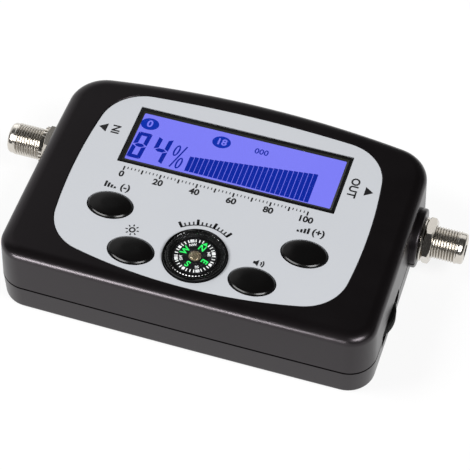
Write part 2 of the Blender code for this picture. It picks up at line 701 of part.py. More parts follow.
def make_screws(finish):
    for name, (x, y) in POSTS.items():
        mesh = screw_mesh(CASE_SCREW_RADIUS, CASE_SCREW_LENGTH,
                          CASE_SCREW_HEAD_RADIUS, CASE_SCREW_HEAD_HEIGHT)
        place("case_screw_" + name, mesh, finish, (x, y, CASE_SCREW_SINK))
    for name, (x, y) in STANDOFFS.items():
        mesh = screw_mesh(BOARD_SCREW_RADIUS, BOARD_SCREW_LENGTH,
                          BOARD_SCREW_HEAD_RADIUS, BOARD_SCREW_HEAD_HEIGHT)
        place("board_screw_" + name, mesh, finish, (x, y, UNDER_BOARD - BOARD_SCREW_HEAD_HEIGHT))


# Label and display

def make_label(finish):
    compass_hole = COMPASS_RADIUS + SEAT_GAP
    holes = [display_opening(), ellipse(compass_hole, compass_hole, LARGE_ROUND, (0, COMPASS_Y))]
    for button_x, button_y in BUTTONS.values():
        holes.append([(x + button_x, y + button_y) for x, y in oval(-RUNNING_GAP)])
    film = plate([bowed_outline(LABEL_PLAN)] + holes, LABEL_THICKNESS)
    place("front_label", film, finish, (0, 0, LABEL_BOTTOM))


def make_display(bezel_finish, window_finish, glass_finish, backlight_finish, strip_finish):
    bezel_height = BEZEL_TOP - ON_BOARD
    bezel = place("display_bezel", box(DISPLAY_WIDTH, DISPLAY_DEPTH, bezel_height), bezel_finish,
                  (0, DISPLAY_Y, ON_BOARD))
    cavity_width = DISPLAY_WIDTH - 2 * BEZEL_WALL
    cavity_depth = DISPLAY_DEPTH - 2 * BEZEL_WALL
    cavity = box(cavity_width, cavity_depth, bezel_height - BEZEL_LIP + CUT_OVERRUN)
    cut(bezel, "bezel cavity", cavity, (0, DISPLAY_Y, ON_BOARD - CUT_OVERRUN))
    view = box(VIEW_WIDTH, VIEW_DEPTH, BEZEL_LIP + 2 * CUT_OVERRUN)
    cut(bezel, "bezel view", view, (0, DISPLAY_Y, BEZEL_TOP - BEZEL_LIP - CUT_OVERRUN))
    window_top = BEZEL_TOP - WINDOW_BELOW_BEZEL
    window = box(VIEW_WIDTH - 2 * FILM_GAP, VIEW_DEPTH - 2 * FILM_GAP, WINDOW_THICKNESS)
    place("display_window", window, window_finish, (0, DISPLAY_Y, window_top - WINDOW_THICKNESS))
    glass_width = cavity_width - 2 * SEAT_GAP
    glass_depth = cavity_depth - 2 * SEAT_GAP
    place("display_glass", box(glass_width, glass_depth, GLASS_THICKNESS), glass_finish,
          (0, DISPLAY_Y, GLASS_TOP - GLASS_THICKNESS))
    below_glass = GLASS_TOP - GLASS_THICKNESS - SEAT_GAP - ON_BOARD
    light_depth = glass_depth - CONTACT_STRIP_DEPTH - SEAT_GAP
    light_y = DISPLAY_Y + (glass_depth - light_depth) / 2
    place("display_backlight", box(glass_width, light_depth, below_glass), backlight_finish,
          (0, light_y, ON_BOARD))
    strip_length = DISPLAY_WIDTH - 2 * CONTACT_STRIP_MARGIN
    strip_y = DISPLAY_Y - (glass_depth - CONTACT_STRIP_DEPTH) / 2
    place("display_contact_strip", box(strip_length, CONTACT_STRIP_DEPTH, below_glass), strip_finish,
          (0, strip_y, ON_BOARD))


# Circuit board and what is soldered to it

def board_outline():
    """A rectangle whose four corners are cut out round the case's posts."""
    reach = UPPER_POST_RADIUS + BOARD_POST_CLEARANCE
    inner = POST_X - reach
    front = FRONT_POST_Y + reach
    back = BACK_POST_Y - reach
    bend = BOARD_NOTCH_CORNER
    right = [(inner, BOARD_FRONT)]
    right += arc((inner + bend, front - bend), bend, math.pi, math.pi / 2, CORNER_STEPS)
    right += [(BOARD_HALF_WIDTH, front), (BOARD_HALF_WIDTH, back)]
    right += arc((inner + bend, back + bend), bend, -math.pi / 2, -math.pi, CORNER_STEPS)
    right += [(inner, BOARD_BACK)]
    return right + [(-x, y) for x, y in reversed(right)]


def make_board(finish):
    bore = BOARD_SCREW_RADIUS + SCREW_CLEARANCE
    holes = [ellipse(bore, bore, SMALL_ROUND, centre) for centre in STANDOFFS.values()]
    place("main_board", plate([board_outline()] + holes, BOARD_THICKNESS), finish, (0, 0, BOARD_HEIGHT))


def make_soldered_parts(shield_finish, buzzer_finish, chip_finish, can_finish):
    depth = SHIELD_BACK - SHIELD_FRONT
    middle = (SHIELD_BACK + SHIELD_FRONT) / 2
    start = UNDER_BOARD - SHIELD_HEIGHT
    can = place("tuner_shield", plate([rounded_box(SHIELD_WIDTH, depth, SHIELD_CORNER)], SHIELD_HEIGHT),
                shield_finish, (0, middle, start))
    inside = rounded_box(SHIELD_WIDTH - 2 * SHIELD_WALL, depth - 2 * SHIELD_WALL, SHIELD_CORNER - SHIELD_WALL)
    cut(can, "shield inside", plate([inside], SHIELD_HEIGHT), (0, middle, start + SHIELD_WALL))
    for side in (-1, 1):
        hole = along_x(rod(CONTACT_RADIUS + SHIELD_CONTACT_CLEARANCE, SHIELD_WALL + 2 * CUT_OVERRUN), side)
        outside = side * (SHIELD_WIDTH / 2 - SHIELD_WALL - CUT_OVERRUN)
        cut(can, "shield contact hole " + str(side), hole, (outside, CONNECTOR_Y, CONNECTOR_HEIGHT))
    buzzer = place("piezo_buzzer", rod(BUZZER_RADIUS, BUZZER_HEIGHT, LARGE_ROUND), buzzer_finish,
                   (BUZZER_X, BUZZER_Y, UNDER_BOARD - BUZZER_HEIGHT))
    cut(buzzer, "sound hole", rod(BUZZER_HOLE, BUZZER_HOLE_DEPTH + CUT_OVERRUN),
        (BUZZER_X, BUZZER_Y, UNDER_BOARD - BUZZER_HEIGHT - CUT_OVERRUN))
    place("microcontroller", box(CONTROLLER_WIDTH, CONTROLLER_WIDTH, CONTROLLER_THICKNESS), chip_finish,
          (CONTROLLER_X, CONTROLLER_Y, UNDER_BOARD - CONTROLLER_THICKNESS))
    place("voltage_regulator", box(REGULATOR_WIDTH, REGULATOR_WIDTH, REGULATOR_THICKNESS), chip_finish,
          (REGULATOR_X, REGULATOR_Y, UNDER_BOARD - REGULATOR_THICKNESS))
    profile = [(0, CAPACITOR_HEIGHT), (CAPACITOR_RADIUS, CAPACITOR_HEIGHT),
               (CAPACITOR_RADIUS, CAPACITOR_EDGE), (CAPACITOR_RADIUS - CAPACITOR_EDGE, 0), (0, 0)]
    place("smoothing_capacitor", turned(profile, SMALL_ROUND), can_finish,
          (CAPACITOR_X, CAPACITOR_Y, UNDER_BOARD - CAPACITOR_HEIGHT))


# Buttons

def oval(inset=0.0):
    """A button's outline, moved evenly inward by the inset, or outward where it is negative."""
    return ellipse(BUTTON_HALF_WIDTH - inset, BUTTON_HALF_DEPTH - inset, MIDDLE_ROUND)


def button_mesh(height):
    """An oval key with a rounded top edge, on a flange that keeps it in the case."""
    flange = oval(-BUTTON_FLANGE_REACH)
    rings = [(flange, 0), (flange, BUTTON_FLANGE_THICKNESS), (oval(), BUTTON_FLANGE_THICKNESS)]
    for step in range(EDGE_STEPS):
        turn = math.pi / 2 * step / (EDGE_STEPS - 1)
        rings.append((oval(BUTTON_EDGE * (1 - math.cos(turn))), height - BUTTON_EDGE * (1 - math.sin(turn))))
    return loft(rings)


def make_buttons(button_finish, switch_finish, plunger_finish):
    flange_top = TOP_UNDERSIDE - SEAT_GAP
    button_bottom = flange_top - BUTTON_FLANGE_THICKNESS
    switch_top = button_bottom - PLUNGER_SHOW
    plunger_top = button_bottom - SEAT_GAP
    plunger_bottom = switch_top - PLUNGER_DEPTH
    bore_bottom = plunger_bottom - BUTTON_TRAVEL - RUNNING_GAP
    for name, (x, y) in BUTTONS.items():
        place(name + "_button", button_mesh(BUTTON_TOP - button_bottom), button_finish, (x, y, button_bottom))
        body = box(SWITCH_WIDTH, SWITCH_WIDTH, switch_top - ON_BOARD)
        switch = place(name + "_switch", body, switch_finish, (x, y, ON_BOARD))
        bore = rod(PLUNGER_RADIUS + RUNNING_GAP, switch_top - bore_bottom + CUT_OVERRUN)
        cut(switch, name + " switch bore", bore, (x, y, bore_bottom))
        plunger = rod(PLUNGER_RADIUS, plunger_top - plunger_bottom)
        place(name + "_plunger", plunger, plunger_finish, (x, y, plunger_bottom))


# Compass

def make_compass(housing_finish, lens_finish, card_finish, jewel_finish, steel_finish, magnet_finish):
    axis = bpy.data.objects.new("compass axis", None)
    METER.objects.link(axis)
    axis.location = (0, COMPASS_Y, 0)
    rim = COMPASS_RADIUS - COMPASS_RIM
    ledge = LENS_BOTTOM - FILM_GAP
    funnel = ledge - FUNNEL_DROP
    floor = ON_BOARD + COMPASS_FLOOR
    flange_top = TOP_UNDERSIDE - SEAT_GAP
    flange_bottom = flange_top - COMPASS_FLANGE_THICKNESS
    housing = turned([(0, floor), (COMPASS_BORE, floor), (COMPASS_BORE, funnel), (rim - LENS_LEDGE, ledge),
                      (rim, ledge), (rim, COMPASS_TOP), (COMPASS_RADIUS - COMPASS_RIM_ROUND, COMPASS_TOP),
                      (COMPASS_RADIUS, COMPASS_TOP - COMPASS_RIM_ROUND), (COMPASS_RADIUS, flange_top),
                      (COMPASS_FLANGE_RADIUS, flange_top), (COMPASS_FLANGE_RADIUS, flange_bottom),
                      (COMPASS_RADIUS, flange_bottom), (COMPASS_RADIUS, ON_BOARD),
                      (0, ON_BOARD)], LARGE_ROUND)
    place("compass_housing", housing, housing_finish, (0, COMPASS_Y, 0))
    lens = rod(rim - FILM_GAP, LENS_THICKNESS, LARGE_ROUND)
    place("compass_lens", lens, lens_finish, (0, COMPASS_Y, LENS_BOTTOM))
    card = turned([(CARD_BORE, CARD_TOP), (CARD_RADIUS, CARD_TOP), (CARD_RADIUS, CARD_BOTTOM),
                   (CARD_BORE, CARD_BOTTOM), (CARD_BORE, CARD_TOP)], LARGE_ROUND)
    place("compass_card", card, card_finish, parent=axis)
    seat = CARD_TOP + FILM_GAP
    stem = seat - JEWEL_STEM_LENGTH
    dome = [(JEWEL_RADIUS * math.sin(turn), seat + JEWEL_RISE * math.cos(turn))
            for turn in (math.pi / 2 * step / EDGE_STEPS for step in range(EDGE_STEPS + 1))]
    jewel = turned(dome + [(JEWEL_STEM_RADIUS, seat), (JEWEL_STEM_RADIUS, stem), (JEWEL_CUP_RADIUS, stem),
                           (0, stem + JEWEL_CUP_DEPTH)], SMALL_ROUND)
    place("compass_jewel", jewel, jewel_finish, parent=axis)
    magnet_top = CARD_BOTTOM - SEAT_GAP
    magnet_bottom = magnet_top - MAGNET_THICKNESS
    magnet = turned([(MAGNET_BORE, magnet_top), (MAGNET_RADIUS, magnet_top), (MAGNET_RADIUS, magnet_bottom),
                     (MAGNET_BORE, magnet_bottom), (MAGNET_BORE, magnet_top)], LARGE_ROUND)
    place("compass_magnet", magnet, magnet_finish, parent=axis)
    foot = floor + SEAT_GAP
    tip = stem + JEWEL_CUP_DEPTH - SEAT_GAP
    foot_top = foot + PIVOT_FOOT_HEIGHT
    pivot = turned([(0, tip), (PIVOT_RADIUS, tip - PIVOT_TIP), (PIVOT_RADIUS, foot_top),
                    (PIVOT_FOOT_RADIUS, foot_top), (PIVOT_FOOT_RADIUS, foot), (0, foot)], SMALL_ROUND)
    place("compass_pivot", pivot, steel_finish, (0, COMPASS_Y, 0))


# Cable connectors

def make_connector(name, side, finish, insulator_finish, contact_finish):
    """One threaded socket: heights here run outward along X from the case's inner wall."""
    start = wall_face(CONNECTOR_Y + FLANGE_RADIUS, CONNECTOR_HEIGHT + FLANGE_RADIUS, WALL) - FILM_GAP
    tip = CONNECTOR_TIP - start
    thread_end = tip - TIP_LENGTH
    flange = -FLANGE_THICKNESS
    tail = flange - TAIL_LENGTH
    bore = tip - BARREL_BORE_DEPTH
    body = turned([(BARREL_BORE, tip), (TIP_RADIUS - TIP_CHAMFER, tip), (TIP_RADIUS, tip - TIP_CHAMFER),
                   (TIP_RADIUS, thread_end), (THREAD_RADIUS, thread_end - (THREAD_RADIUS - TIP_RADIUS)),
                   (THREAD_RADIUS, 0), (FLANGE_RADIUS, 0), (FLANGE_RADIUS, flange), (TAIL_RADIUS, flange),
                   (TAIL_RADIUS, tail), (CORE_BORE, tail), (CORE_BORE, bore), (BARREL_BORE, bore),
                   (BARREL_BORE, tip)], MIDDLE_ROUND)
    where = (side * start, CONNECTOR_Y, CONNECTOR_HEIGHT)
    place(name + "_connector", along_x(body, side), finish, where)
    insulator_tip = tip - INSULATOR_RECESS
    insulator_start = bore + SEAT_GAP
    clearance = CONTACT_RADIUS + FILM_GAP
    insulator = turned([(clearance, insulator_tip), (BARREL_BORE - FILM_GAP, insulator_tip),
                        (BARREL_BORE - FILM_GAP, insulator_start), (clearance, insulator_start),
                        (clearance, insulator_tip)], SMALL_ROUND)
    place(name + "_insulator", along_x(insulator, side), insulator_finish, where)
    contact_tip = insulator_tip - CONTACT_RECESS
    contact_end = SHIELD_WIDTH / 2 - CONTACT_IN_SHIELD - start
    socket_end = contact_tip - CONTACT_SOCKET_DEPTH
    contact = turned([(CONTACT_SOCKET, contact_tip), (CONTACT_RADIUS, contact_tip),
                      (CONTACT_RADIUS, contact_end), (0, contact_end), (0, socket_end),
                      (CONTACT_SOCKET, socket_end), (CONTACT_SOCKET, contact_tip)], SMALL_ROUND)
    place(name + "_contact", along_x(contact, side), contact_finish, where)


def nut_blank():
    """A bored disc with both rims chamfered, from which a hexagon nut is cut."""
    corner = NUT_ACROSS_FLATS / 2 / math.cos(math.pi / 6) + FILM_GAP
    flat = NUT_ACROSS_FLATS / 2
    bore = THREAD_RADIUS + FILM_GAP
    return turned([(bore, NUT_THICKNESS), (flat, NUT_THICKNESS), (corner, NUT_THICKNESS - NUT_CHAMFER),
                   (corner, NUT_CHAMFER), (flat, 0), (bore, 0), (bore, NUT_THICKNESS)], MIDDLE_ROUND)


def make_nut(name, side, start, finish):
    """A hexagon nut with its flats cut on a chamfered disc."""
    nut = place(name, along_x(nut_blank(), side), finish, (side * start, CONNECTOR_Y, CONNECTOR_HEIGHT))
    corner = NUT_ACROSS_FLATS / 2 / math.cos(math.pi / 6)
    hexagon = rod(corner, NUT_THICKNESS + 2 * CUT_OVERRUN, 6)
    hexagon.transform(Matrix.Rotation(NUT_TURN, 4, "Z"))
    along_x(hexagon, side)
    where = (side * (start - CUT_OVERRUN), CONNECTOR_Y, CONNECTOR_HEIGHT)
    combine(nut, cutter(name + " hexagon", hexagon, where), "INTERSECT")


def make_connector_fixings(finish):
    """A washer and a nut on the right seat, and on the left a nut on the wall with a toothed collar."""
    wall = CASE_WIDTH / 2
    washer_start = wall + BOSS_HEIGHT + SEAT_GAP
    bore = THREAD_RADIUS + FILM_GAP
    washer = plate([ellipse(WASHER_RADIUS, WASHER_RADIUS, LARGE_ROUND), ellipse(bore, bore, MIDDLE_ROUND)],
                   WASHER_THICKNESS)
    place("receiver_washer", along_x(washer, 1), finish, (washer_start, CONNECTOR_Y, CONNECTOR_HEIGHT))
    make_nut("receiver_nut", 1, washer_start + WASHER_THICKNESS + FILM_GAP, finish)
    make_nut("lnb_nut", -1, wall + SEAT_GAP, finish)
    collar_start = wall + SEAT_GAP + NUT_THICKNESS + FILM_GAP
    collar = plate([toothed(COLLAR_RADIUS, COLLAR_TOOTH, COLLAR_TEETH), ellipse(bore, bore, MIDDLE_ROUND)],
                   COLLAR_THICKNESS)
    place("lnb_lock_collar", along_x(collar, -1), finish, (-collar_start, CONNECTOR_Y, CONNECTOR_HEIGHT))


# Thumbwheel

def make_thumbwheel(wheel_finish, shaft_finish, potentiometer_finish):
    axis = bpy.data.objects.new("thumbwheel axis", None)
    METER.objects.link(axis)
    axis.location = (WHEEL_X, WHEEL_Y, 0)
    bore = WHEEL_SHAFT_RADIUS + SEAT_GAP
    wheel = [toothed(WHEEL_RADIUS, WHEEL_TOOTH, WHEEL_TEETH), ellipse(bore, bore, SMALL_ROUND)]
    place("thumbwheel", plate(wheel, WHEEL_THICKNESS), wheel_finish, (0, 0, WHEEL_HEIGHT), axis)
    body_bottom = WHEEL_TOP + SEAT_GAP
    shaft_top = body_bottom + SHAFT_ENGAGEMENT
    head_top = WHEEL_HEIGHT - SEAT_GAP
    head_bottom = head_top - WHEEL_SHAFT_HEAD_HEIGHT
    shaft = turned([(0, shaft_top), (WHEEL_SHAFT_RADIUS, shaft_top), (WHEEL_SHAFT_RADIUS, head_top),
                    (WHEEL_SHAFT_HEAD_RADIUS, head_top), (WHEEL_SHAFT_HEAD_RADIUS, head_bottom),
                    (0, head_bottom)], SMALL_ROUND)
    place("thumbwheel_shaft", shaft, shaft_finish, parent=axis)
    block = box(POTENTIOMETER_WIDTH, POTENTIOMETER_WIDTH, UNDER_BOARD - body_bottom)
    body = place("potentiometer_body", block, potentiometer_finish, (WHEEL_X, WHEEL_Y, body_bottom))
    bore = rod(WHEEL_SHAFT_RADIUS + RUNNING_GAP, SHAFT_ENGAGEMENT + RUNNING_GAP + CUT_OVERRUN)
    cut(body, "potentiometer bore", bore, (WHEEL_X, WHEEL_Y, body_bottom - CUT_OVERRUN))


clear_scene()
METER = new_collection("Satellite signal meter")
CUTTERS = new_collection("Cutters")

CASE_BLACK = material("case black plastic", (0.018, 0.017, 0.018), 0.42)
LABEL_GREY = material("label grey film", (0.60, 0.62, 0.65), 0.45)
BEZEL_BLACK = material("bezel black plastic", (0.010, 0.010, 0.011), 0.35)
CLEAR_PLASTIC = material("clear plastic", (0.95, 0.96, 0.98), 0.05, transmission=0.9)
DISPLAY_BLUE = material("display glass", (0.22, 0.22, 0.95), 0.10)
LIGHT_WHITE = material("backlight diffuser", (0.85, 0.86, 0.90), 0.50)
STRIP_PINK = material("contact strip rubber", (0.55, 0.38, 0.36), 0.70)
BOARD_GREEN = material("board laminate", (0.03, 0.18, 0.08), 0.45)
BUTTON_BLACK = material("button rubber", (0.012, 0.012, 0.013), 0.38)
SWITCH_BLACK = material("switch plastic", (0.03, 0.03, 0.03), 0.50)
PLUNGER_WHITE = material("plunger plastic", (0.75, 0.74, 0.70), 0.50)
COMPASS_BLACK = material("compass black plastic", (0.014, 0.014, 0.014), 0.40)
JEWEL_COPPER = material("compass jewel", (0.62, 0.38, 0.27), 0.18, 0.8)
CARD_BLACK = material("compass card", (0.010, 0.010, 0.012), 0.50)
STEEL = material("zinc steel", (0.55, 0.55, 0.56), 0.32, 1.0)
MAGNET_GREY = material("ferrite magnet", (0.08, 0.08, 0.085), 0.60)
NICKEL = material("nickel plate", (0.70, 0.67, 0.62), 0.20, 1.0)
INSULATOR_WHITE = material("insulator plastic", (0.85, 0.84, 0.80), 0.50)
BRASS = material("contact brass", (0.72, 0.55, 0.26), 0.28, 1.0)
TINPLATE = material("tinplate", (0.60, 0.60, 0.60), 0.30, 1.0)
CHIP_BLACK = material("chip resin", (0.025, 0.025, 0.027), 0.55)
CAN_ALUMINIUM = material("capacitor can", (0.62, 0.63, 0.64), 0.30, 1.0)
WHEEL_BLACK = material("thumbwheel plastic", (0.015, 0.015, 0.016), 0.50)

make_upper_case(CASE_BLACK)
make_lower_case(CASE_BLACK)
make_screws(STEEL)
make_label(LABEL_GREY)
make_display(BEZEL_BLACK, CLEAR_PLASTIC, DISPLAY_BLUE, LIGHT_WHITE, STRIP_PINK)
make_board(BOARD_GREEN)
make_soldered_parts(TINPLATE, CHIP_BLACK, CHIP_BLACK, CAN_ALUMINIUM)
make_buttons(BUTTON_BLACK, SWITCH_BLACK, PLUNGER_WHITE)
make_compass(COMPASS_BLACK, CLEAR_PLASTIC, CARD_BLACK, JEWEL_COPPER, STEEL, MAGNET_GREY)
make_connector("lnb", -1, NICKEL, INSULATOR_WHITE, BRASS)
make_connector("receiver", 1, NICKEL, INSULATOR_WHITE, BRASS)
make_connector_fixings(NICKEL)
make_thumbwheel(WHEEL_BLACK, STEEL, SWITCH_BLACK)
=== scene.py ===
# %% [markdown]
# # A satellite signal meter
#
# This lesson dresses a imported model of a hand-held meter: a black two-part case with a lit display, four buttons,
# a small compass, a thumbwheel and two threaded sockets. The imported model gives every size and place, and each
# cell below makes one kind of piece or finish that stands for the plain solids.

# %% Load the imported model
import json
import math

import bmesh
import bpy
from mathutils import Matrix, Vector

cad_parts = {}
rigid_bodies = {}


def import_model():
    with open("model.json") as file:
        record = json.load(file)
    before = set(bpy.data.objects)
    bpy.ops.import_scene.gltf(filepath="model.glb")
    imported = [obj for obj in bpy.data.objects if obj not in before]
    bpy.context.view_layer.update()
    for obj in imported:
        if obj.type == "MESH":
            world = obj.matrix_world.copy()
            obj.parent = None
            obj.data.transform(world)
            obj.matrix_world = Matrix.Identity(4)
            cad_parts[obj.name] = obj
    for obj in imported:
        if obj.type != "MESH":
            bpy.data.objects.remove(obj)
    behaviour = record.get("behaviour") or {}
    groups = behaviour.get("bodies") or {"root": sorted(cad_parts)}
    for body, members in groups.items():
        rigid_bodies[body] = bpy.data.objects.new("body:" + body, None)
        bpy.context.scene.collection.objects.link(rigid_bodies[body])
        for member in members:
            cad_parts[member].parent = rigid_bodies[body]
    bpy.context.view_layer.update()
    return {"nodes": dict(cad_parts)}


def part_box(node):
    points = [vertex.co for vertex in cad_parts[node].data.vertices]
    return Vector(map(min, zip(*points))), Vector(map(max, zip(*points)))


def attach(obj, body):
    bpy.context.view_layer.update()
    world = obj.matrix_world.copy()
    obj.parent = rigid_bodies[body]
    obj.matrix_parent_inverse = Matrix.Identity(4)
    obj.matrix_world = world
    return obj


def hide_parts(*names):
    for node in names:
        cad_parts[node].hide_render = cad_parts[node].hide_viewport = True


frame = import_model()
MM = 0.001

# %% [markdown]
# ## Camera
#
# The photograph was taken with a long lens from the front right, looking steeply down. The three directions below
# were fitted to the case's edges, so the camera is set from them rather than aimed by eye.

# %% Camera
EYE = Vector((0.10073, -0.30718, 0.41606))
RIGHT = Vector((0.9528, 0.3036, 0.0036))
UP = Vector((-0.2407, 0.7479, 0.6187))
BACK = RIGHT.cross(UP).normalized()
UP = BACK.cross(RIGHT).normalized()
camera_data = bpy.data.cameras.new("camera")
camera_data.lens = 139.65
camera_data.sensor_width = 36
camera_data.clip_start = 0.01
camera = bpy.data.objects.new("camera", camera_data)
camera.matrix_world = Matrix((RIGHT, UP, BACK)).transposed().to_4x4()
camera.matrix_world.translation = EYE
bpy.context.scene.collection.objects.link(camera)
bpy.context.scene.camera = camera
bpy.context.scene.view_settings.view_transform = "Standard"
print("camera distance in mm", round(EYE.length / MM))

# %% [markdown]
# ## Node helpers
#
# A material is a small graph. These helpers keep the graphs readable: one adds a node with its settings, one starts a
# material, and one starts a node group with named sockets, so an effect can be built once and used many times.

# %% Helpers for node graphs
def feed(tree, socket, value):
    """Links a socket to another one, or gives it a plain value."""
    if isinstance(value, bpy.types.NodeSocket):
        tree.links.new(value, socket)
    else:
        socket.default_value = value


def add(tree, kind, **settings):
    """A new node. Names with capitals are sockets, and the others are the node's own settings."""
    made = tree.nodes.new(kind)
    for name, value in settings.items():
        if name[0].isupper():
            feed(tree, made.inputs[name.replace("_", " ")], value)
        else:
            setattr(made, name, value)
    return made


def fed(tree, kind, *values, **settings):
    """A new node with its inputs fed in their order, which returns its first output."""
    made = add(tree, kind, **settings)
    for socket, value in zip(made.inputs, values):
        feed(tree, socket, value)
    return made.outputs[0]


def sums(tree, operation, *values):
    """The result of a Math node."""
    return fed(tree, "ShaderNodeMath", *values, operation=operation)


def ranged(tree, value, low, high, to_low=0.0, to_high=1.0, kind="LINEAR"):
    """A value taken from one range to another and held at its ends."""
    return fed(tree, "ShaderNodeMapRange", value, low, high, to_low, to_high, interpolation_type=kind)


def blend(tree, factor, first, second):
    """A mix of two colours, each a socket or a plain colour."""
    made = add(tree, "ShaderNodeMix", data_type="RGBA")
    for index, value in ((0, factor), (6, first), (7, second)):
        feed(tree, made.inputs[index], value)
    return made.outputs[2]


def place(tree):
    """The object's own coordinates, in metres."""
    return add(tree, "ShaderNodeTexCoord").outputs["Object"]


def new_material(name):
    """A new material, with its tree and its shader."""
    made = bpy.data.materials.new(name)
    made.use_nodes = True
    return made, made.node_tree, made.node_tree.nodes["Principled BSDF"]


def new_group(name, kind, inputs, outputs):
    """An empty node group with named sockets, and its input and output nodes."""
    tree = bpy.data.node_groups.new(name, kind)
    for label, socket_type, value in inputs:
        socket = tree.interface.new_socket(label, in_out="INPUT", socket_type=socket_type)
        if value is not None:
            socket.default_value = value
    for label, socket_type in outputs:
        tree.interface.new_socket(label, in_out="OUTPUT", socket_type=socket_type)
    return tree, tree.nodes.new("NodeGroupInput").outputs, tree.nodes.new("NodeGroupOutput").inputs


NUMBER, COLOUR, VECTOR = "NodeSocketFloat", "NodeSocketColor", "NodeSocketVector"
SMOOTH = "SMOOTHSTEP"

# %% [markdown]
# ## Shared surface effects
#
# Moulded plastic, plated metal and printed film all vary a little from place to place. Two noise patterns do it: a
# coarse one for patches of slightly other tone and gloss, and a fine one for the grain that a mould leaves. Both read
# the object's own coordinates in metres, so a grain size is a real size.

# %% Group: patches and grain
patchy, given, result = new_group(
    "patches and grain", "ShaderNodeTree",
    [("Colour", COLOUR, (0.5, 0.5, 0.5, 1)), ("Other Colour", COLOUR, (0.4, 0.4, 0.4, 1)),
     ("Roughness", NUMBER, 0.4), ("Other Roughness", NUMBER, 0.5),
     ("Grain Size", NUMBER, 0.0003), ("Patch Size", NUMBER, 0.01)],
    [("Colour", COLOUR), ("Roughness", NUMBER), ("Height", NUMBER)])
where = place(patchy)
grain = add(patchy, "ShaderNodeTexNoise", Vector=where, Scale=sums(patchy, "DIVIDE", 1.0, given["Grain Size"]),
            Detail=2.0, Roughness=0.6).outputs[0]
patch = add(patchy, "ShaderNodeTexNoise", Vector=where, Scale=sums(patchy, "DIVIDE", 1.0, given["Patch Size"]),
            Detail=3.0, Roughness=0.55).outputs[0]
spread = sums(patchy, "ADD", sums(patchy, "MULTIPLY", patch, 0.7), sums(patchy, "MULTIPLY", grain, 0.3))
patchy.links.new(blend(patchy, spread, given["Colour"], given["Other Colour"]), result["Colour"])
patchy.links.new(ranged(patchy, patch, 0.3, 0.7, given["Roughness"], given["Other Roughness"]), result["Roughness"])
patchy.links.new(grain, result["Height"])
print("group", patchy.name, "with", len(patchy.nodes), "nodes")

# %% [markdown]
# Turned and rolled metal carries fine lines in one direction. A noise pattern squeezed along that direction gives
# them: a large stretch means short distances along it, so the pattern changes quickly there and slowly across.

# %% Group: tool lines
lined, given, result = new_group(
    "tool lines", "ShaderNodeTree",
    [("Stretch", VECTOR, (8000, 300, 300)), ("Roughness", NUMBER, 0.2), ("Other Roughness", NUMBER, 0.3)],
    [("Roughness", NUMBER), ("Height", NUMBER)])
squeezed = fed(lined, "ShaderNodeVectorMath", place(lined), given["Stretch"], operation="MULTIPLY")
lines = add(lined, "ShaderNodeTexNoise", Vector=squeezed, Scale=1.0, Detail=2.0).outputs[0]
lined.links.new(ranged(lined, lines, 0.3, 0.7, given["Roughness"], given["Other Roughness"]), result["Roughness"])
lined.links.new(lines, result["Height"])

# %% [markdown]
# Each finish below is one Principled shader fed by a group. The colour and its neighbour tone, the gloss range and the
# grain are given for each, and a Bump node turns the grain's height into relief of a real depth.

# %% Finishes from the groups
def surfaced(made, surface, strength, relief):
    """Takes a shader's gloss from a group, and its relief from the group's height."""
    tree, shader = made.node_tree, made.node_tree.nodes["Principled BSDF"]
    bump = add(tree, "ShaderNodeBump", Strength=strength, Distance=relief, Height=surface.outputs["Height"])
    tree.links.new(surface.outputs["Roughness"], shader.inputs["Roughness"])
    tree.links.new(bump.outputs[0], shader.inputs["Normal"])
    return made


def finish(name, colour, other, roughness, grain_size=0.0003, patch_size=0.012, relief=0.00001, strength=0.3,
           **constants):
    """A material of one shader fed by the patches and grain group."""
    made, tree, shader = new_material(name)
    for label, value in constants.items():
        shader.inputs[label.replace("_", " ")].default_value = value
    surface = add(tree, "ShaderNodeGroup", node_tree=patchy, Colour=(*colour, 1), Other_Colour=(*other, 1),
                  Roughness=roughness[0], Other_Roughness=roughness[1], Grain_Size=grain_size, Patch_Size=patch_size)
    tree.links.new(surface.outputs["Colour"], shader.inputs["Base Color"])
    return surfaced(made, surface, strength, relief)


def metal(name, colour, other, stretch, roughness):
    """A bare metal with the lines of a tool instead of grain."""
    made = finish(name, colour, other, roughness, Metallic=1.0)
    surface = add(made.node_tree, "ShaderNodeGroup", node_tree=lined, Stretch=stretch, Roughness=roughness[0],
                  Other_Roughness=roughness[1])
    return surfaced(made, surface, strength=0.25, relief=0.000004)


# %% [markdown]
# The outside finishes. The case is satin black plastic with a fine spark-eroded grain, the buttons are smoother, and
# the label is a pale printed film. The metal of the sockets is nickel, which is warmer than chrome.

# %% Outside finishes
case_black = finish("case black", (0.0012, 0.0009, 0.0010), (0.0018, 0.0014, 0.0015), (0.28, 0.33),
                    grain_size=0.00022, relief=0.000006, strength=0.25, IOR=1.44, Specular_Tint=(1.0, 0.90, 0.97, 1))
label_grey = finish("label film", (0.600, 0.620, 0.655), (0.622, 0.640, 0.672), (0.34, 0.42),
                    grain_size=0.00012, patch_size=0.02, relief=0.000003, strength=0.2)
label_ink = finish("label ink", (0.008, 0.008, 0.009), (0.013, 0.013, 0.014), (0.38, 0.46), grain_size=0.0001)
# Painted light: the frame's slope is a lighter copy of the frame's black, for the light that falls on it.
frame_slope_painted_light = finish("frame slope", (0.018, 0.019, 0.015), (0.024, 0.024, 0.019), (0.45, 0.55), grain_size=0.0002)
frame_black = finish("frame black", (0.0035, 0.0035, 0.0035), (0.006, 0.0058, 0.005), (0.22, 0.30),
                     grain_size=0.0002, relief=0.000006)
button_black = finish("button black", (0.0010, 0.0009, 0.0009), (0.0016, 0.0014, 0.0014), (0.19, 0.25),
                      grain_size=0.0003, relief=0.000006, strength=0.25, Specular_IOR_Level=0.38)
capsule_black = finish("capsule black", (0.0009, 0.0009, 0.0009), (0.0014, 0.0014, 0.0014), (0.20, 0.28),
                       grain_size=0.0003, relief=0.000006, Specular_IOR_Level=0.16)
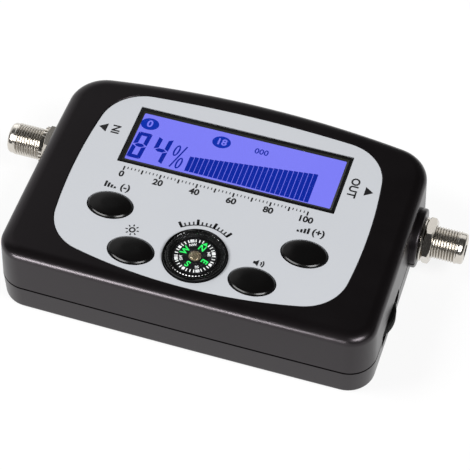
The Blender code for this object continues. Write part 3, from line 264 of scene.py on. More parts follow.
gloss_black = finish("gloss black", (0.0020, 0.0020, 0.0020), (0.0030, 0.0030, 0.0030), (0.08, 0.14),
                     grain_size=0.0002, IOR=2.2)
dial_black = finish("dial black", (0.0010, 0.0010, 0.0014), (0.0018, 0.0018, 0.0024), (0.45, 0.6), grain_size=0.0002,
                    Specular_IOR_Level=0.2)
white_ink = finish("white ink", (0.74, 0.74, 0.72), (0.60, 0.61, 0.60), (0.4, 0.5), grain_size=0.0002)
# Painted light: the green ink also glows a little, which makes the letters brighter than paint alone.
green_ink = finish("green ink with painted glow", (0.012, 0.56, 0.085), (0.008, 0.46, 0.06), (0.4, 0.5), grain_size=0.0002,
                   Emission_Color=(0.01, 0.60, 0.08, 1), Emission_Strength=0.25)
copper = finish("copper cap", (0.22, 0.145, 0.10), (0.10, 0.115, 0.06), (0.10, 0.17), grain_size=0.0006,
                patch_size=0.0012, Metallic=0.75, Coat_Weight=1.0, Coat_Roughness=0.04)
NICKEL = (0.70, 0.665, 0.61), (0.62, 0.585, 0.53), (9000, 500, 500)
nickel = metal("nickel plate", *NICKEL, (0.17, 0.27))
wheel_black = finish("wheel black", (0.0025, 0.0025, 0.0025), (0.004, 0.004, 0.004), (0.4, 0.5), grain_size=0.0002,
                     Specular_IOR_Level=0.25)
print("outside finishes", [m.name for m in bpy.data.materials if m.use_nodes][-12:])

# %% [markdown]
# The inside finishes dress the parts that only an opened case shows: the green board, the tinned can over the tuner,
# the chips, the switches and the compass magnet.

# %% Inside finishes
insulator_white = finish("insulator white", (0.78, 0.76, 0.70), (0.70, 0.68, 0.62), (0.4, 0.5), grain_size=0.0002)
brass = metal("contact brass", (0.72, 0.54, 0.25), (0.62, 0.46, 0.20), (6000, 400, 400), (0.20, 0.30))
steel = metal("zinc steel", (0.56, 0.56, 0.58), (0.46, 0.47, 0.50), (500, 500, 7000), (0.24, 0.36))
tinplate = finish("tinplate", (0.60, 0.60, 0.59), (0.48, 0.48, 0.48), (0.22, 0.38), patch_size=0.003, Metallic=1.0)
aluminium = metal("can aluminium", (0.66, 0.67, 0.68), (0.58, 0.59, 0.60), (400, 400, 9000), (0.22, 0.34))
chip_resin = finish("chip resin", (0.020, 0.020, 0.022), (0.030, 0.030, 0.032), (0.5, 0.62), relief=0.00002)
switch_black = finish("switch plastic", (0.022, 0.022, 0.022), (0.030, 0.030, 0.030), (0.42, 0.52))
plunger_white = finish("plunger white", (0.72, 0.71, 0.66), (0.66, 0.65, 0.60), (0.4, 0.5))
ferrite = finish("ferrite", (0.065, 0.065, 0.070), (0.095, 0.095, 0.10), (0.55, 0.7), relief=0.00003, strength=0.5)
diffuser = finish("light diffuser", (0.80, 0.81, 0.86), (0.74, 0.75, 0.82), (0.5, 0.6),
                  Emission_Color=(0.55, 0.58, 1.0, 1), Emission_Strength=0.6)

# %% [markdown]
# The board is glass laminate under a green lacquer. Copper under the lacquer shows as a lighter green, in blocks with
# straight sides, so a brick pattern picks between the two greens and also lifts the surface a little.

# %% Board laminate and contact strip
board_green = finish("board laminate", (0.010, 0.105, 0.040), (0.014, 0.120, 0.048), (0.28, 0.36))
tree = board_green.node_tree
tracks = add(tree, "ShaderNodeTexBrick", Vector=place(tree), Scale=240.0, Color1=(0.012, 0.115, 0.045, 1),
             Color2=(0.016, 0.150, 0.060, 1), Mortar=(0.006, 0.065, 0.028, 1), Mortar_Size=0.035).outputs[0]
tree.links.new(tracks, tree.nodes["Principled BSDF"].inputs["Base Color"])

strip_rubber = finish("strip rubber", (0.55, 0.36, 0.33), (0.50, 0.33, 0.30), (0.6, 0.7))
tree = strip_rubber.node_tree
layers = add(tree, "ShaderNodeTexWave", Vector=place(tree), Scale=900.0, bands_direction="X").outputs[0]
striped = blend(tree, layers, (0.03, 0.03, 0.03, 1), (0.56, 0.37, 0.34, 1))
tree.links.new(striped, tree.nodes["Principled BSDF"].inputs["Base Color"])

# %% [markdown]
# ## Clear covers and the lit screen
#
# The display's cover and the compass's lens are clear plastic: full transmission, a refraction index of 1.49 and a
# trace of haze in the gloss. They let lamp light through to what lies under them. The liquid crystal glass is lit
# from behind, so its blue is light and not paint. It is a little uneven, as a light guide is, and the dark segments
# let only a deep blue through.

# %% Clear plastic and screen light
def clear_plastic(name):
    made, tree, shader = new_material(name)
    shader.inputs["Base Color"].default_value = (0.97, 0.98, 1.0, 1)
    shader.inputs["Transmission Weight"].default_value = 1.0
    shader.inputs["IOR"].default_value = 1.49
    haze = add(tree, "ShaderNodeTexNoise", Vector=place(tree), Scale=400.0, Detail=3.0).outputs[0]
    tree.links.new(ranged(tree, haze, 0.0, 1.0, 0.0, 0.015), shader.inputs["Roughness"])
    passed = fed(tree, "ShaderNodeMixShader", add(tree, "ShaderNodeLightPath").outputs["Is Shadow Ray"],
                 shader.outputs[0], add(tree, "ShaderNodeBsdfTransparent").outputs[0])
    tree.links.new(passed, tree.nodes["Material Output"].inputs[0])
    return made


def screen_light(name, colour, other):
    """A dark surface that glows in a colour which drifts a little toward another."""
    made = finish(name, (0.0012, 0.0012, 0.004), (0.002, 0.002, 0.006), (0.3, 0.36), Emission_Strength=1.0,
                  Specular_IOR_Level=0.0)
    tree = made.node_tree
    uneven = add(tree, "ShaderNodeTexNoise", Vector=place(tree), Scale=28.0, Detail=1.0).outputs[0]
    drifting = blend(tree, uneven, (*colour, 1), (*other, 1))
    tree.links.new(drifting, tree.nodes["Principled BSDF"].inputs["Emission Color"])
    return made


cover_clear = clear_plastic("cover clear")
lens_clear = clear_plastic("lens clear")
screen_blue = screen_light("screen blue", (0.220, 0.220, 1.0), (0.245, 0.245, 1.0))
segment_blue = screen_light("segment blue", (0.0, 0.016, 0.340), (0.0, 0.022, 0.410))
badge_blue = screen_light("badge blue", (0.0, 0.026, 0.420), (0.001, 0.034, 0.480))

# %% [markdown]
# ## Making meshes
#
# Most pieces come from three moves: a skin drawn through like outlines (loft), a profile turned round an axis, and a
# flat plate cut from outlines. A Boolean joins or cuts them, and its result is kept as a plain mesh.

# %% Mesh helpers
def mesh_from(shape, weld=1e-7):
    """Closes the seams of a shape, turns its faces outward and makes it a mesh."""
    bmesh.ops.remove_doubles(shape, verts=shape.verts, dist=weld)
    bmesh.ops.recalc_face_normals(shape, faces=shape.faces)
    mesh = bpy.data.meshes.new("shape")
    shape.to_mesh(mesh)
    shape.free()
    return mesh


def bridge(shape, below, above):
    """Faces between two rings of points, where a ring may be a single point."""
    count = max(len(below), len(above))
    for index in range(count):
        following = (index + 1) % count
        corners = [below[index % len(below)], below[following % len(below)], above[following % len(above)],
                   above[index % len(above)]]
        distinct = [corner for spot, corner in enumerate(corners) if corner not in corners[:spot]]
        if len(distinct) > 2:
            shape.faces.new(distinct)


def around(steps):
    """Angles at even steps round a circle."""
    return [math.tau * step / steps for step in range(steps)]


def loft(rings, first=True, last=True):
    """A skin through like outlines, each at its own height, with a face over the first and the last of them."""
    shape = bmesh.new()
    drawn = [[shape.verts.new((x, y, height)) for x, y in outline] for outline, height in rings]
    for below, above in zip(drawn, drawn[1:]):
        bridge(shape, below, above)
    if last:
        shape.faces.new(drawn[-1])
    if first:
        shape.faces.new(reversed(drawn[0]))
    return mesh_from(shape)


def turned(profile, steps=64):
    """A solid turned about Z from a profile of (radius, height)."""
    shape = bmesh.new()
    rings = [[shape.verts.new((radius * math.cos(t), radius * math.sin(t), height))
              for t in (around(steps) if radius > 0 else [0])] for radius, height in profile]
    for below, above in zip(rings, rings[1:]):
        bridge(shape, below, above)
    return mesh_from(shape)


def softened(profile, reach, steps=3):
    """Rounds every inner corner of a profile by a small curve that starts and ends within reach of it."""
    points = [Vector(point) for point in profile]
    soft = [profile[0]]
    for before, corner, after in zip(points, points[1:], points[2:]):
        start = corner + (before - corner).normalized() * min(reach, (before - corner).length * 0.45)
        end = corner + (after - corner).normalized() * min(reach, (after - corner).length * 0.45)
        for step in range(steps + 1):
            t = step / steps
            soft.append(tuple(start * (1 - t) ** 2 + corner * 2 * t * (1 - t) + end * t ** 2))
    return soft + [profile[-1]]


def turned_ring(profile, reach, steps, rounding=3):
    """A ring turned about Z from a closed profile, with every corner softened but the one where it starts."""
    soft = softened(profile + [profile[0]], reach, rounding)
    return turned(soft[1:] + [soft[1]], steps)


def joined(*meshes):
    """Several meshes as one."""
    shape = bmesh.new()
    for mesh in meshes:
        shape.from_mesh(mesh)
    mesh = bpy.data.meshes.new("joined")
    shape.to_mesh(mesh)
    shape.free()
    return mesh


def moved(mesh, x=0.0, y=0.0, z=0.0, turn=0.0):
    """The mesh turned about Z and moved to its place."""
    mesh.transform(Matrix.Translation((x, y, z)) @ Matrix.Rotation(turn, 4, "Z"))
    return mesh


def along_x(mesh, side=1):
    """Lays what stands on Z along X, pointing right (side 1) or left (side -1)."""
    mesh.transform(Matrix.Rotation(side * math.pi / 2, 4, "Y"))
    return mesh


# %% [markdown]
# A curve can be filled, given a thickness and kept as a mesh, which suits plates with holes and printed letters. The
# letters are plain numbers and signs, two plain words at the sockets, and the points of the compass.

# %% Plates, letters and Booleans
def kept(thing):
    """The evaluated object as a plain mesh, with the helper object removed."""
    seen = thing.evaluated_get(bpy.context.evaluated_depsgraph_get())
    mesh = bpy.data.meshes.new_from_object(seen)
    bpy.data.objects.remove(thing)
    return mesh


def linked(name, data):
    thing = bpy.data.objects.new(name, data)
    bpy.context.scene.collection.objects.link(thing)
    return thing


def plate(outlines, bottom, top):
    """A flat plate from its outline and any holes, between two heights."""
    curve = bpy.data.curves.new("outline", "CURVE")
    curve.dimensions = "2D"
    curve.fill_mode = "BOTH"
    curve.extrude = (top - bottom) / 2
    for outline in outlines:
        spline = curve.splines.new("POLY")
        spline.points.add(len(outline) - 1)
        spline.use_cyclic_u = True
        for point, (x, y) in zip(spline.points, outline):
            point.co = (x, y, 0, 1)
    shape = bmesh.new()
    shape.from_mesh(kept(linked("outline", curve)))
    bmesh.ops.translate(shape, verts=shape.verts, vec=(0, 0, (top + bottom) / 2))
    return mesh_from(shape)


def letters(words, size, x, y, bottom, top, turn=0.0, heavy=0.0, slant=0.0):
    """Printed letters, centred on a place, as a thin plate."""
    text = bpy.data.curves.new("letters", "FONT")
    text.body = words
    text.size = size
    text.align_x = "CENTER"
    text.align_y = "CENTER"
    text.extrude = (top - bottom) / 2
    text.offset = heavy
    text.shear = slant
    text.resolution_u = 4
    return moved(kept(linked("letters", text)), x, y, (top + bottom) / 2, turn)


def worked(mesh, tools, wall=None):
    """The mesh after a list of Booleans, each an operation and a mesh. A wall first thickens an open skin."""
    body = linked("body", mesh)
    if wall:
        skin = body.modifiers.new("wall", "SOLIDIFY")
        skin.thickness = wall
        skin.offset = -1
        skin.use_even_offset = True
    helpers = [linked("tool", tool) for operation, tool in tools]
    for (operation, tool), helper in zip(tools, helpers):
        change = body.modifiers.new("change", "BOOLEAN")
        change.operation = operation
        change.solver = "EXACT"
        change.object = helper
    result = kept(body)
    for helper in helpers:
        bpy.data.objects.remove(helper)
    return result


# %% [markdown]
# Every finished piece gets smooth shading with its real edges kept sharp, rides on a body of the imported model, takes
# its finish, and stands for the plain solids that it replaces.

# %% Finishing a piece
def piece(name, mesh, look, slot_name, *stands_for, body="meter_case", sharp=32):
    mesh.name = name
    mesh.materials.clear()
    mesh.materials.append(look)
    mesh.shade_smooth()
    mesh.set_sharp_from_angle(angle=math.radians(sharp))
    thing = linked(name, mesh)
    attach(thing, body)
    if stands_for:
        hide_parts(*stands_for)
    print(name, len(mesh.polygons), "faces")
    return thing


def middle(node):
    low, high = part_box(node)
    return (low + high) / 2


# %% [markdown]
# ## Geometry Nodes for what repeats
#
# Screws, the compass's marks, the wheel's ribs and the collar's teeth are copies of one small shape. One tree puts
# copies in a row and another puts them round a ring. Both end in Realize Instances, so the result is plain geometry.

# %% Trees: a row and a ring of copies
GEOMETRY = "NodeSocketGeometry"


def new_tree(name, *inputs):
    """A Geometry Nodes group that takes a shape, its own named inputs and a finish."""
    return new_group(name, "GeometryNodeTree", [("Geometry", GEOMETRY, None), *inputs,
                                                ("Finish", "NodeSocketMaterial", None)], [("Geometry", GEOMETRY)])


def ended(tree, shape, given, result):
    """Makes a tree's copies real and gives them their finish."""
    real = add(tree, "GeometryNodeRealizeInstances", Geometry=shape).outputs[0]
    dressed = add(tree, "GeometryNodeSetMaterial", Geometry=real, Material=given["Finish"])
    tree.links.new(dressed.outputs[0], result["Geometry"])


def copies(tree, points, given, **settings):
    return add(tree, "GeometryNodeInstanceOnPoints", Points=points, Instance=given["Geometry"], **settings).outputs[0]


row, given, result = new_tree("row of copies", ("Count", "NodeSocketInt", 2), ("Start", VECTOR, (0, 0, 0)),
                              ("Step", VECTOR, (0.01, 0, 0)))
line = add(row, "GeometryNodeMeshLine", Count=given["Count"], Start_Location=given["Start"], Offset=given["Step"])
ended(row, copies(row, line.outputs[0], given), given, result)

ring, given, result = new_tree("ring of copies", ("Count", "NodeSocketInt", 8), ("Radius", NUMBER, 0.005),
                               ("First Turn", NUMBER, 0.0), ("Turn Step", NUMBER, 0.1))
spots = add(ring, "GeometryNodeMeshLine", Count=given["Count"])
number = add(ring, "GeometryNodeInputIndex").outputs[0]
turn = sums(ring, "ADD", sums(ring, "MULTIPLY", number, given["Turn Step"]), given["First Turn"])
across, along = (sums(ring, "MULTIPLY", sums(ring, kind, turn), given["Radius"]) for kind in ("COSINE", "SINE"))
spread_out = add(ring, "GeometryNodeSetPosition", Geometry=spots.outputs[0],
                 Position=fed(ring, "ShaderNodeCombineXYZ", across, along)).outputs[0]
facing = add(ring, "ShaderNodeCombineXYZ", Z=turn).outputs[0]
ended(ring, copies(ring, spread_out, given, Rotation=facing), given, result)


def grown(tree, base, **values):
    """Runs a tree on a mesh and keeps the result as a plain mesh."""
    thing = linked("grown", base)
    modifier = thing.modifiers.new(tree.name, "NODES")
    modifier.node_group = tree
    for item in tree.interface.items_tree:
        label = item.name.replace(" ", "_")
        if item.in_out == "INPUT" and label in values:
            modifier[item.identifier] = values[label]
    return kept(thing)


def all_round(shape, count, radius, look, start=0.0):
    """Copies of a shape at even steps round a whole circle."""
    return grown(ring, shape, Count=count, Radius=radius, First_Turn=start, Turn_Step=math.tau / count, Finish=look)


print("trees", [tree.name for tree in bpy.data.node_groups if tree.bl_idname == "GeometryNodeTree"])

# %% [markdown]
# ## Case sizes
#
# The case is a rounded rectangle whose four sides bow outward, the back one most. Each side is a flat arc that meets
# a corner arc without a bend, so the outline is found from where the arcs' centres must lie.

# %% Case sizes and outline
CASE_WIDTH, CASE_DEPTH, CASE_HEIGHT = 0.1086, 0.0752, 0.0234
CASE = {"width": CASE_WIDTH, "front": -CASE_DEPTH / 2, "back": CASE_DEPTH / 2, "front_corner": 0.0080,
        "back_corner": 0.0115, "side_bow": 0.0003, "front_bow": 0.0003, "back_bow": 0.0052}
LABEL = {"width": 0.0860, "front": -0.0332, "back": 0.0308, "front_corner": 0.0130, "back_corner": 0.0130,
         "side_bow": 0.0034, "front_bow": 0.0066, "back_bow": 0.0026}
PARTING = 0.0087
PARTING_GAP = 0.0006
WALL = 0.0022
UPPER_DRAFT, LOWER_DRAFT = 0.0006, 0.0002
EDGE_RUN, EDGE_DROP, BOTTOM_EDGE = 0.0034, 0.0028, 0.0008
UNDERSIDE = CASE_HEIGHT - WALL
LABEL_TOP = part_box("front_label")[1].z
LABEL_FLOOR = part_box("front_label")[0].z - 0.0001
OVERRUN = 0.001


def arc(centre, radius, start, end, steps):
    turns = [start + (end - start) * step / steps for step in range(steps + 1)]
    return [(centre[0] + radius * math.cos(turn), centre[1] + radius * math.sin(turn)) for turn in turns]


def circles_meet(first, first_radius, second, second_radius, near):
    first = Vector(first)
    across = Vector(second) - first
    along = (first_radius ** 2 - second_radius ** 2 + across.length_squared) / (2 * across.length)
    side = math.sqrt(first_radius ** 2 - along ** 2)
    foot = first + across.normalized() * along
    square = Vector((-across.y, across.x)).normalized() * side
    return min((foot + square, foot - square), key=lambda point: (point - Vector(near)).length)


def bow_radius(half_chord, bow):
    return (half_chord ** 2 + bow ** 2) / (2 * bow)


def bowed_outline(plan, inset=0.0, bow_steps=12, corner_steps=12):
    """A rounded rectangle with bowed sides, moved evenly inward by the inset."""
    half = plan["width"] / 2
    side_radius = bow_radius((plan["back"] - plan["front"]) / 2, plan["side_bow"])
    front_radius = bow_radius(half, plan["front_bow"])
    back_radius = bow_radius(half, plan["back_bow"])
    near, far = plan["front_corner"], plan["back_corner"]
    side = (half - side_radius, (plan["front"] + plan["back"]) / 2)
    front = (0, plan["front"] + front_radius)
    back = (0, plan["back"] - back_radius)
    front_corner = circles_meet(front, front_radius - near, side, side_radius - near, (half, plan["front"]))
    back_corner = circles_meet(back, back_radius - far, side, side_radius - far, (half, plan["back"]))
    points = []
    start = -math.pi / 2
    for centre, radius, following in ((front, front_radius, front_corner), (front_corner, near, side),
                                      (side, side_radius, back_corner), (back_corner, far, back),
                                      (back, back_radius, None)):
        toward = Vector((0, 1)) if following is None else Vector(following) - Vector(centre)
        tight = radius in (near, far)
        if tight:
            toward.negate()
        end = math.atan2(toward.y, toward.x)
        points += arc(centre, radius - inset, start, end, corner_steps if tight else bow_steps)[1:]
        start = end
    right = [(0, plan["front"] + inset)] + points
    return right + [(-x, y) for x, y in reversed(right[1:-1])]


print("case outline points", len(bowed_outline(CASE)))

# %% [markdown]
# ## The two case shells
#
# Each shell is a drafted skin with a rounded edge. A narrow flat ring next to each curve keeps the flat faces flat in
# the light. Solidify then gives the skin a wall, and Booleans cut the openings and join the posts.

# %% Shell skins
def skin(levels, edge_steps, draft, run, drop, start, turn_height):
    """Rings from the parting line over a rounded edge to the flat middle."""
    outward = 1 if turn_height > start else -1
    rings = [(bowed_outline(CASE), start)]
    for share in levels:
        height = start + (turn_height - outward * drop - start) * share
        rings.append((bowed_outline(CASE, draft * share), height))
    for step in range(edge_steps + 1):
        turn = math.pi / 2 * step / edge_steps
        rings.append((bowed_outline(CASE, draft + run * (1 - math.cos(turn))),
                      turn_height - outward * drop * (1 - math.sin(turn))))
    rings.append((bowed_outline(CASE, draft + run + 0.0005), turn_height))
    return loft(rings, first=False)


def rod(radius, bottom, top, steps=32, x=0.0, y=0.0):
    return moved(turned([(0, bottom), (radius, bottom), (radius, top), (0, top)], steps), x, y)


POSTS = [(x, y) for x in (-0.0455, 0.0455) for y in (-0.0288, 0.0255)]
STANDOFFS = [(-0.0405, middle("board_screw_front_left").y), (0.0405, middle("board_screw_front_right").y),
             (-0.0365, middle("board_screw_back_left").y), (0.0365, middle("board_screw_back_right").y)]
POST_RADIUS, FOOT_RADIUS, POST_HOLE, HEAD_HOLE = 0.0030, 0.0038, 0.0016, 0.0028
STANDOFF_RADIUS, STANDOFF_HOLE = 0.0026, 0.0013
REBATE_INSET, REBATE_DEPTH, LIP_INSET, LIP_HEIGHT = 0.0011, 0.0016, 0.0013, 0.0013
SOCKET_Y, SOCKET_Z = middle("receiver_connector").y, middle("receiver_connector").z
COMPASS_Y = middle("compass_housing").y
COMPASS_RADIUS = 0.00885
DISPLAY_LOW, DISPLAY_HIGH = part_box("display_bezel")
BUTTONS = {name: middle(name + "_button") for name in ("attenuation_down", "light", "buzzer", "attenuation_up")}
print("sockets at", round(SOCKET_Y / MM, 2), round(SOCKET_Z / MM, 2), "mm")

# %% [markdown]
# The raised seat round the right socket is half on each shell, as are the socket holes and the thumbwheel's slot. The
# label lies in a shallow recess, whose upper edge is broken by a small chamfer that catches the light.

# %% Shared cuts
def ellipse(half_width, half_depth, x=0.0, y=0.0, steps=64):
    return [(x + half_width * math.cos(turn), y + half_depth * math.sin(turn)) for turn in around(steps)]


def rectangle(low_x, low_y, high_x, high_y, corner=0.0002, steps=4):
    points = []
    for quarter, (x, y) in enumerate(((high_x - corner, high_y - corner), (low_x + corner, high_y - corner),
                                      (low_x + corner, low_y + corner), (high_x - corner, low_y + corner))):
        points += arc((x, y), corner, quarter * math.pi / 2, (quarter + 1) * math.pi / 2, steps)
    return points


BUTTON_HALF_WIDTH, BUTTON_HALF_DEPTH = 0.00645, 0.00450
SEAT_RADIUS, SOCKET_HOLE = 0.0086, 0.0050


def button_oval(grow=0.0):
    return ellipse(BUTTON_HALF_WIDTH + grow, BUTTON_HALF_DEPTH + grow)


def span(node, side):
    """Where a piece on a socket's axis starts and ends, measured outward from the case's middle."""
    low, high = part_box(node)
    return (low.x, high.x) if side > 0 else (-high.x, -low.x)


def on_socket(mesh, side=1):
    """Lays what was turned about Z on the sockets' axis."""
    return moved(along_x(mesh, side), 0, SOCKET_Y, SOCKET_Z)


def seat():
    root, out = CASE_WIDTH / 2 - WALL / 2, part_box("upper_case")[1].x
    return on_socket(turned(softened([(0, out), (SEAT_RADIUS, out), (SEAT_RADIUS, root), (0, root)], 0.0007, 5), 96))


def side_openings():
    inside = CASE_WIDTH / 2 - WALL - OVERRUN
    tools = [on_socket(rod(SOCKET_HOLE, inside, CASE_WIDTH / 2 + 0.004, 48), side) for side in (-1, 1)]
    wheel_low, wheel_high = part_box("thumbwheel")
    half_length, half_height = 0.00875, (wheel_high.z - wheel_low.z) / 2 + 0.0010
    slot = plate([rectangle(-half_height, -half_length, half_height, half_length, 0.0012, 6)], inside,
                 CASE_WIDTH / 2 + OVERRUN)
    tools.append(moved(along_x(slot), 0, middle("thumbwheel").y, middle("thumbwheel").z))
    return [("DIFFERENCE", tool) for tool in tools]


def through_top(outline, x=0.0, y=0.0):
    """The tool that cuts an opening in the case's top."""
    return "DIFFERENCE", moved(plate([outline], UNDERSIDE - OVERRUN, CASE_HEIGHT + OVERRUN), x, y)


EVERYWHERE = rectangle(-0.2, -0.2, 0.2, 0.2)
CLEAR = 0.0003
DISPLAY_OPENING = rectangle(DISPLAY_LOW.x - CLEAR, DISPLAY_LOW.y - CLEAR, DISPLAY_HIGH.x + CLEAR,
                            DISPLAY_HIGH.y + CLEAR)

# %% Upper shell
upper = skin((0.5, 0.97), 8, UPPER_DRAFT, EDGE_RUN, EDGE_DROP, PARTING - OVERRUN, CASE_HEIGHT)
tools = [("UNION", rod(POST_RADIUS, PARTING - OVERRUN, UNDERSIDE + WALL / 2, x=x, y=y)) for x, y in POSTS]
board_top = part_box("main_board")[1].z
tools += [("UNION", rod(STANDOFF_RADIUS, board_top + 0.0003, UNDERSIDE + WALL / 2, x=x, y=y)) for x, y in STANDOFFS]
tools += [("UNION", seat()), ("DIFFERENCE", plate([EVERYWHERE], -0.02, PARTING + PARTING_GAP / 2))]
tools.append(("DIFFERENCE", plate([bowed_outline(CASE, REBATE_INSET), bowed_outline(CASE, WALL + 0.0007)],
                                  PARTING - OVERRUN, PARTING + PARTING_GAP / 2 + REBATE_DEPTH)))
tools += side_openings()
chamfer, room = 0.00005, 0.0002
recess = loft([(bowed_outline(LABEL, -room), LABEL_FLOOR), (bowed_outline(LABEL, -room), CASE_HEIGHT - chamfer),
               (bowed_outline(LABEL, -room - 2 * chamfer), CASE_HEIGHT + chamfer)])
tools += [("DIFFERENCE", recess), through_top(DISPLAY_OPENING)]
tools.append(("DIFFERENCE", rod(COMPASS_RADIUS + CLEAR, UNDERSIDE - OVERRUN, CASE_HEIGHT + OVERRUN, 64, 0, COMPASS_Y)))
tools += [through_top(button_oval(CLEAR), spot.x, spot.y) for spot in BUTTONS.values()]
tools += [("DIFFERENCE", rod(POST_HOLE, 0, 0.0145, x=x, y=y)) for x, y in POSTS]
board_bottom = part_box("main_board")[0].z
tools += [("DIFFERENCE", rod(STANDOFF_HOLE, board_bottom - 0.0003, board_bottom + 0.0060, x=x, y=y))
          for x, y in STANDOFFS]
piece("upper_case_shell", worked(upper, tools, WALL), case_black, "case_black", "upper_case")

# %% Lower shell
lower = skin((0.5, 0.95), 6, LOWER_DRAFT, BOTTOM_EDGE, BOTTOM_EDGE, PARTING + OVERRUN, 0.0)
tools = [("UNION", rod(FOOT_RADIUS, WALL / 2, PARTING + OVERRUN, x=x, y=y)) for x, y in POSTS]
tools += [("UNION", seat()), ("DIFFERENCE", plate([EVERYWHERE], PARTING - PARTING_GAP / 2, 0.05))]
tools.append(("UNION", plate([bowed_outline(CASE, LIP_INSET), bowed_outline(CASE, WALL - 0.000001)],
                             PARTING - PARTING_GAP / 2 - 0.0012, PARTING - PARTING_GAP / 2 + LIP_HEIGHT)))
tools += side_openings()
for x, y in POSTS:
    tools.append(("DIFFERENCE", rod(HEAD_HOLE, -OVERRUN, 0.0025, x=x, y=y)))
    tools.append(("DIFFERENCE", rod(POST_HOLE, 0, PARTING + OVERRUN, x=x, y=y)))
piece("lower_case_shell", worked(lower, tools, WALL), case_black, "case_black", "lower_case")

# %% [markdown]
# ## Screws
#
# The case screws are pan heads with a cross recess, sunk in the underside, and four smaller ones hold the board. A
# screw is turned once, its recess is cut with two crossed blades, and a row of two copies makes each pair.

# %% Screws
def screw(radius, length, head_radius, head_height):
    profile = softened([(0, 0), (head_radius * 0.75, 0.0), (head_radius, head_height * 0.55),
                        (head_radius, head_height), (radius, head_height), (radius, head_height + length - radius),
                        (radius * 0.3, head_height + length), (0, head_height + length)], head_height * 0.25)
    blade = head_radius * 0.16
    arm = head_radius * 0.62
    depth = head_height * 0.7
    cross = [("DIFFERENCE", plate([rectangle(-half_x, -half_y, half_x, half_y, blade * 0.4)], -OVERRUN, depth))
             for half_x, half_y in ((arm, blade), (blade, arm))]
    return worked(turned(profile, 40), cross)


def pair(base, left, right):
    return grown(row, base, Count=2, Start=tuple(left), Step=tuple(right - left), Finish=steel)


def foot(node):
    low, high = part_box(node)
    return Vector(((low.x + high.x) / 2, (low.y + high.y) / 2, low.z))


for group, size in (("case_screw", (0.0013, 0.0120, 0.0025, 0.0016)),
                    ("board_screw", (0.0010, 0.0060, 0.0020, 0.0012))):
    nodes = [group + end for end in ("_front_left", "_front_right", "_back_left", "_back_right")]
    pairs = [pair(screw(*size), foot(nodes[index]), foot(nodes[index + 1])) for index in (0, 2)]
    piece(group + "s", joined(*pairs), steel, "zinc_steel", *nodes)

# %% [markdown]
# ## Label and its print
#
# The label is a thin film with holes for the display, the compass and the buttons. Its print is a separate layer a
# few hundredths of a millimetre thick: arrows at the two sockets, plain signs by the buttons, a graduated arc over the
# compass and a scale of plain numbers under the display.

# %% Label film
holes = [DISPLAY_OPENING, ellipse(COMPASS_RADIUS + CLEAR, COMPASS_RADIUS + CLEAR, 0, COMPASS_Y)]
holes += [[(spot.x + x, spot.y + y) for x, y in button_oval(CLEAR)] for spot in BUTTONS.values()]
piece("label_film", plate([bowed_outline(LABEL)] + holes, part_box("front_label")[0].z, LABEL_TOP), label_grey,
      "label_grey", "front_label")

# %% Label print
INK_LOW, INK_HIGH = LABEL_TOP + 0.00001, LABEL_TOP + 0.00004


def printed(*outlines):
    return plate([[(x * MM, y * MM) for x, y in outline] for outline in outlines], INK_LOW, INK_HIGH)


def bar(x, y, width, height):
    left, low = x - width / 2, y - height / 2
    right, high = x + width / 2, y + height / 2
    return printed([(left, low), (right, low), (right, high), (left, high)])


def word(words, size, x, y, turn=0.0, heavy=0.0):
    return letters(words, size * MM, x * MM, y * MM, INK_LOW, INK_HIGH, turn, heavy * MM)


inks = [printed([(40.4, 14.0), (38.0, 15.6), (38.0, 12.4)]), printed([(-41.2, 14.2), (-38.8, 12.7), (-38.8, 15.9)]),
        word("IN", 3.3, -36.0, 14.4, math.pi / 2, 0.09), word("OUT", 3.4, 34.6, 14.2, -math.pi / 2, 0.09)]

# %% Button signs
for side, sign in ((-1, "(-)"), (1, "(+)")):
    spot = (-28.5, -5.4) if side < 0 else (27.5, -4.5)
    for step in range(4):
        height = 0.7 + 0.45 * (step if side > 0 else 3 - step)
        inks.append(bar(spot[0] - 3.4 + 0.95 * step, spot[1] - 1.05 + height / 2, 0.62, height))
    inks.append(word(sign, 3.0, spot[0] + 2.3, spot[1] + 0.05, 0, 0.10))


def arc_print(x, y, outer, inner, start, end):
    return printed(arc((x, y), outer, start, end, 12) + arc((x, y), inner, end, start, 12))


lamp = (-19.3, -18.9)
inks.append(printed(*[ellipse(radius, radius, *lamp, 32) for radius in (0.95, 0.52)]))
for angle in around(8):
    ray = moved(bar(0, 0, 0.62, 0.34), 0, 0, 0, angle)
    inks.append(moved(ray, (lamp[0] + 1.62 * math.cos(angle)) * MM, (lamp[1] + 1.62 * math.sin(angle)) * MM))
horn = (17.2, -19.3)
inks.append(printed([(horn[0] + x, horn[1] + y) for x, y in ((-1.5, -0.45), (-0.9, -0.45), (-0.1, -1.1), (-0.1, 1.1),
                                                             (-0.9, 0.45), (-1.5, 0.45))]))
for reach in (0.85, 1.5):
    inks.append(arc_print(horn[0] - 0.1, horn[1], reach + 0.19, reach - 0.19, -0.75, 0.75))
print("signs drawn", len(inks))

# %% [markdown]
# The graduated arc over the compass and the strip of numbers under the display are rows and rings of one small mark,
# which the two trees place.

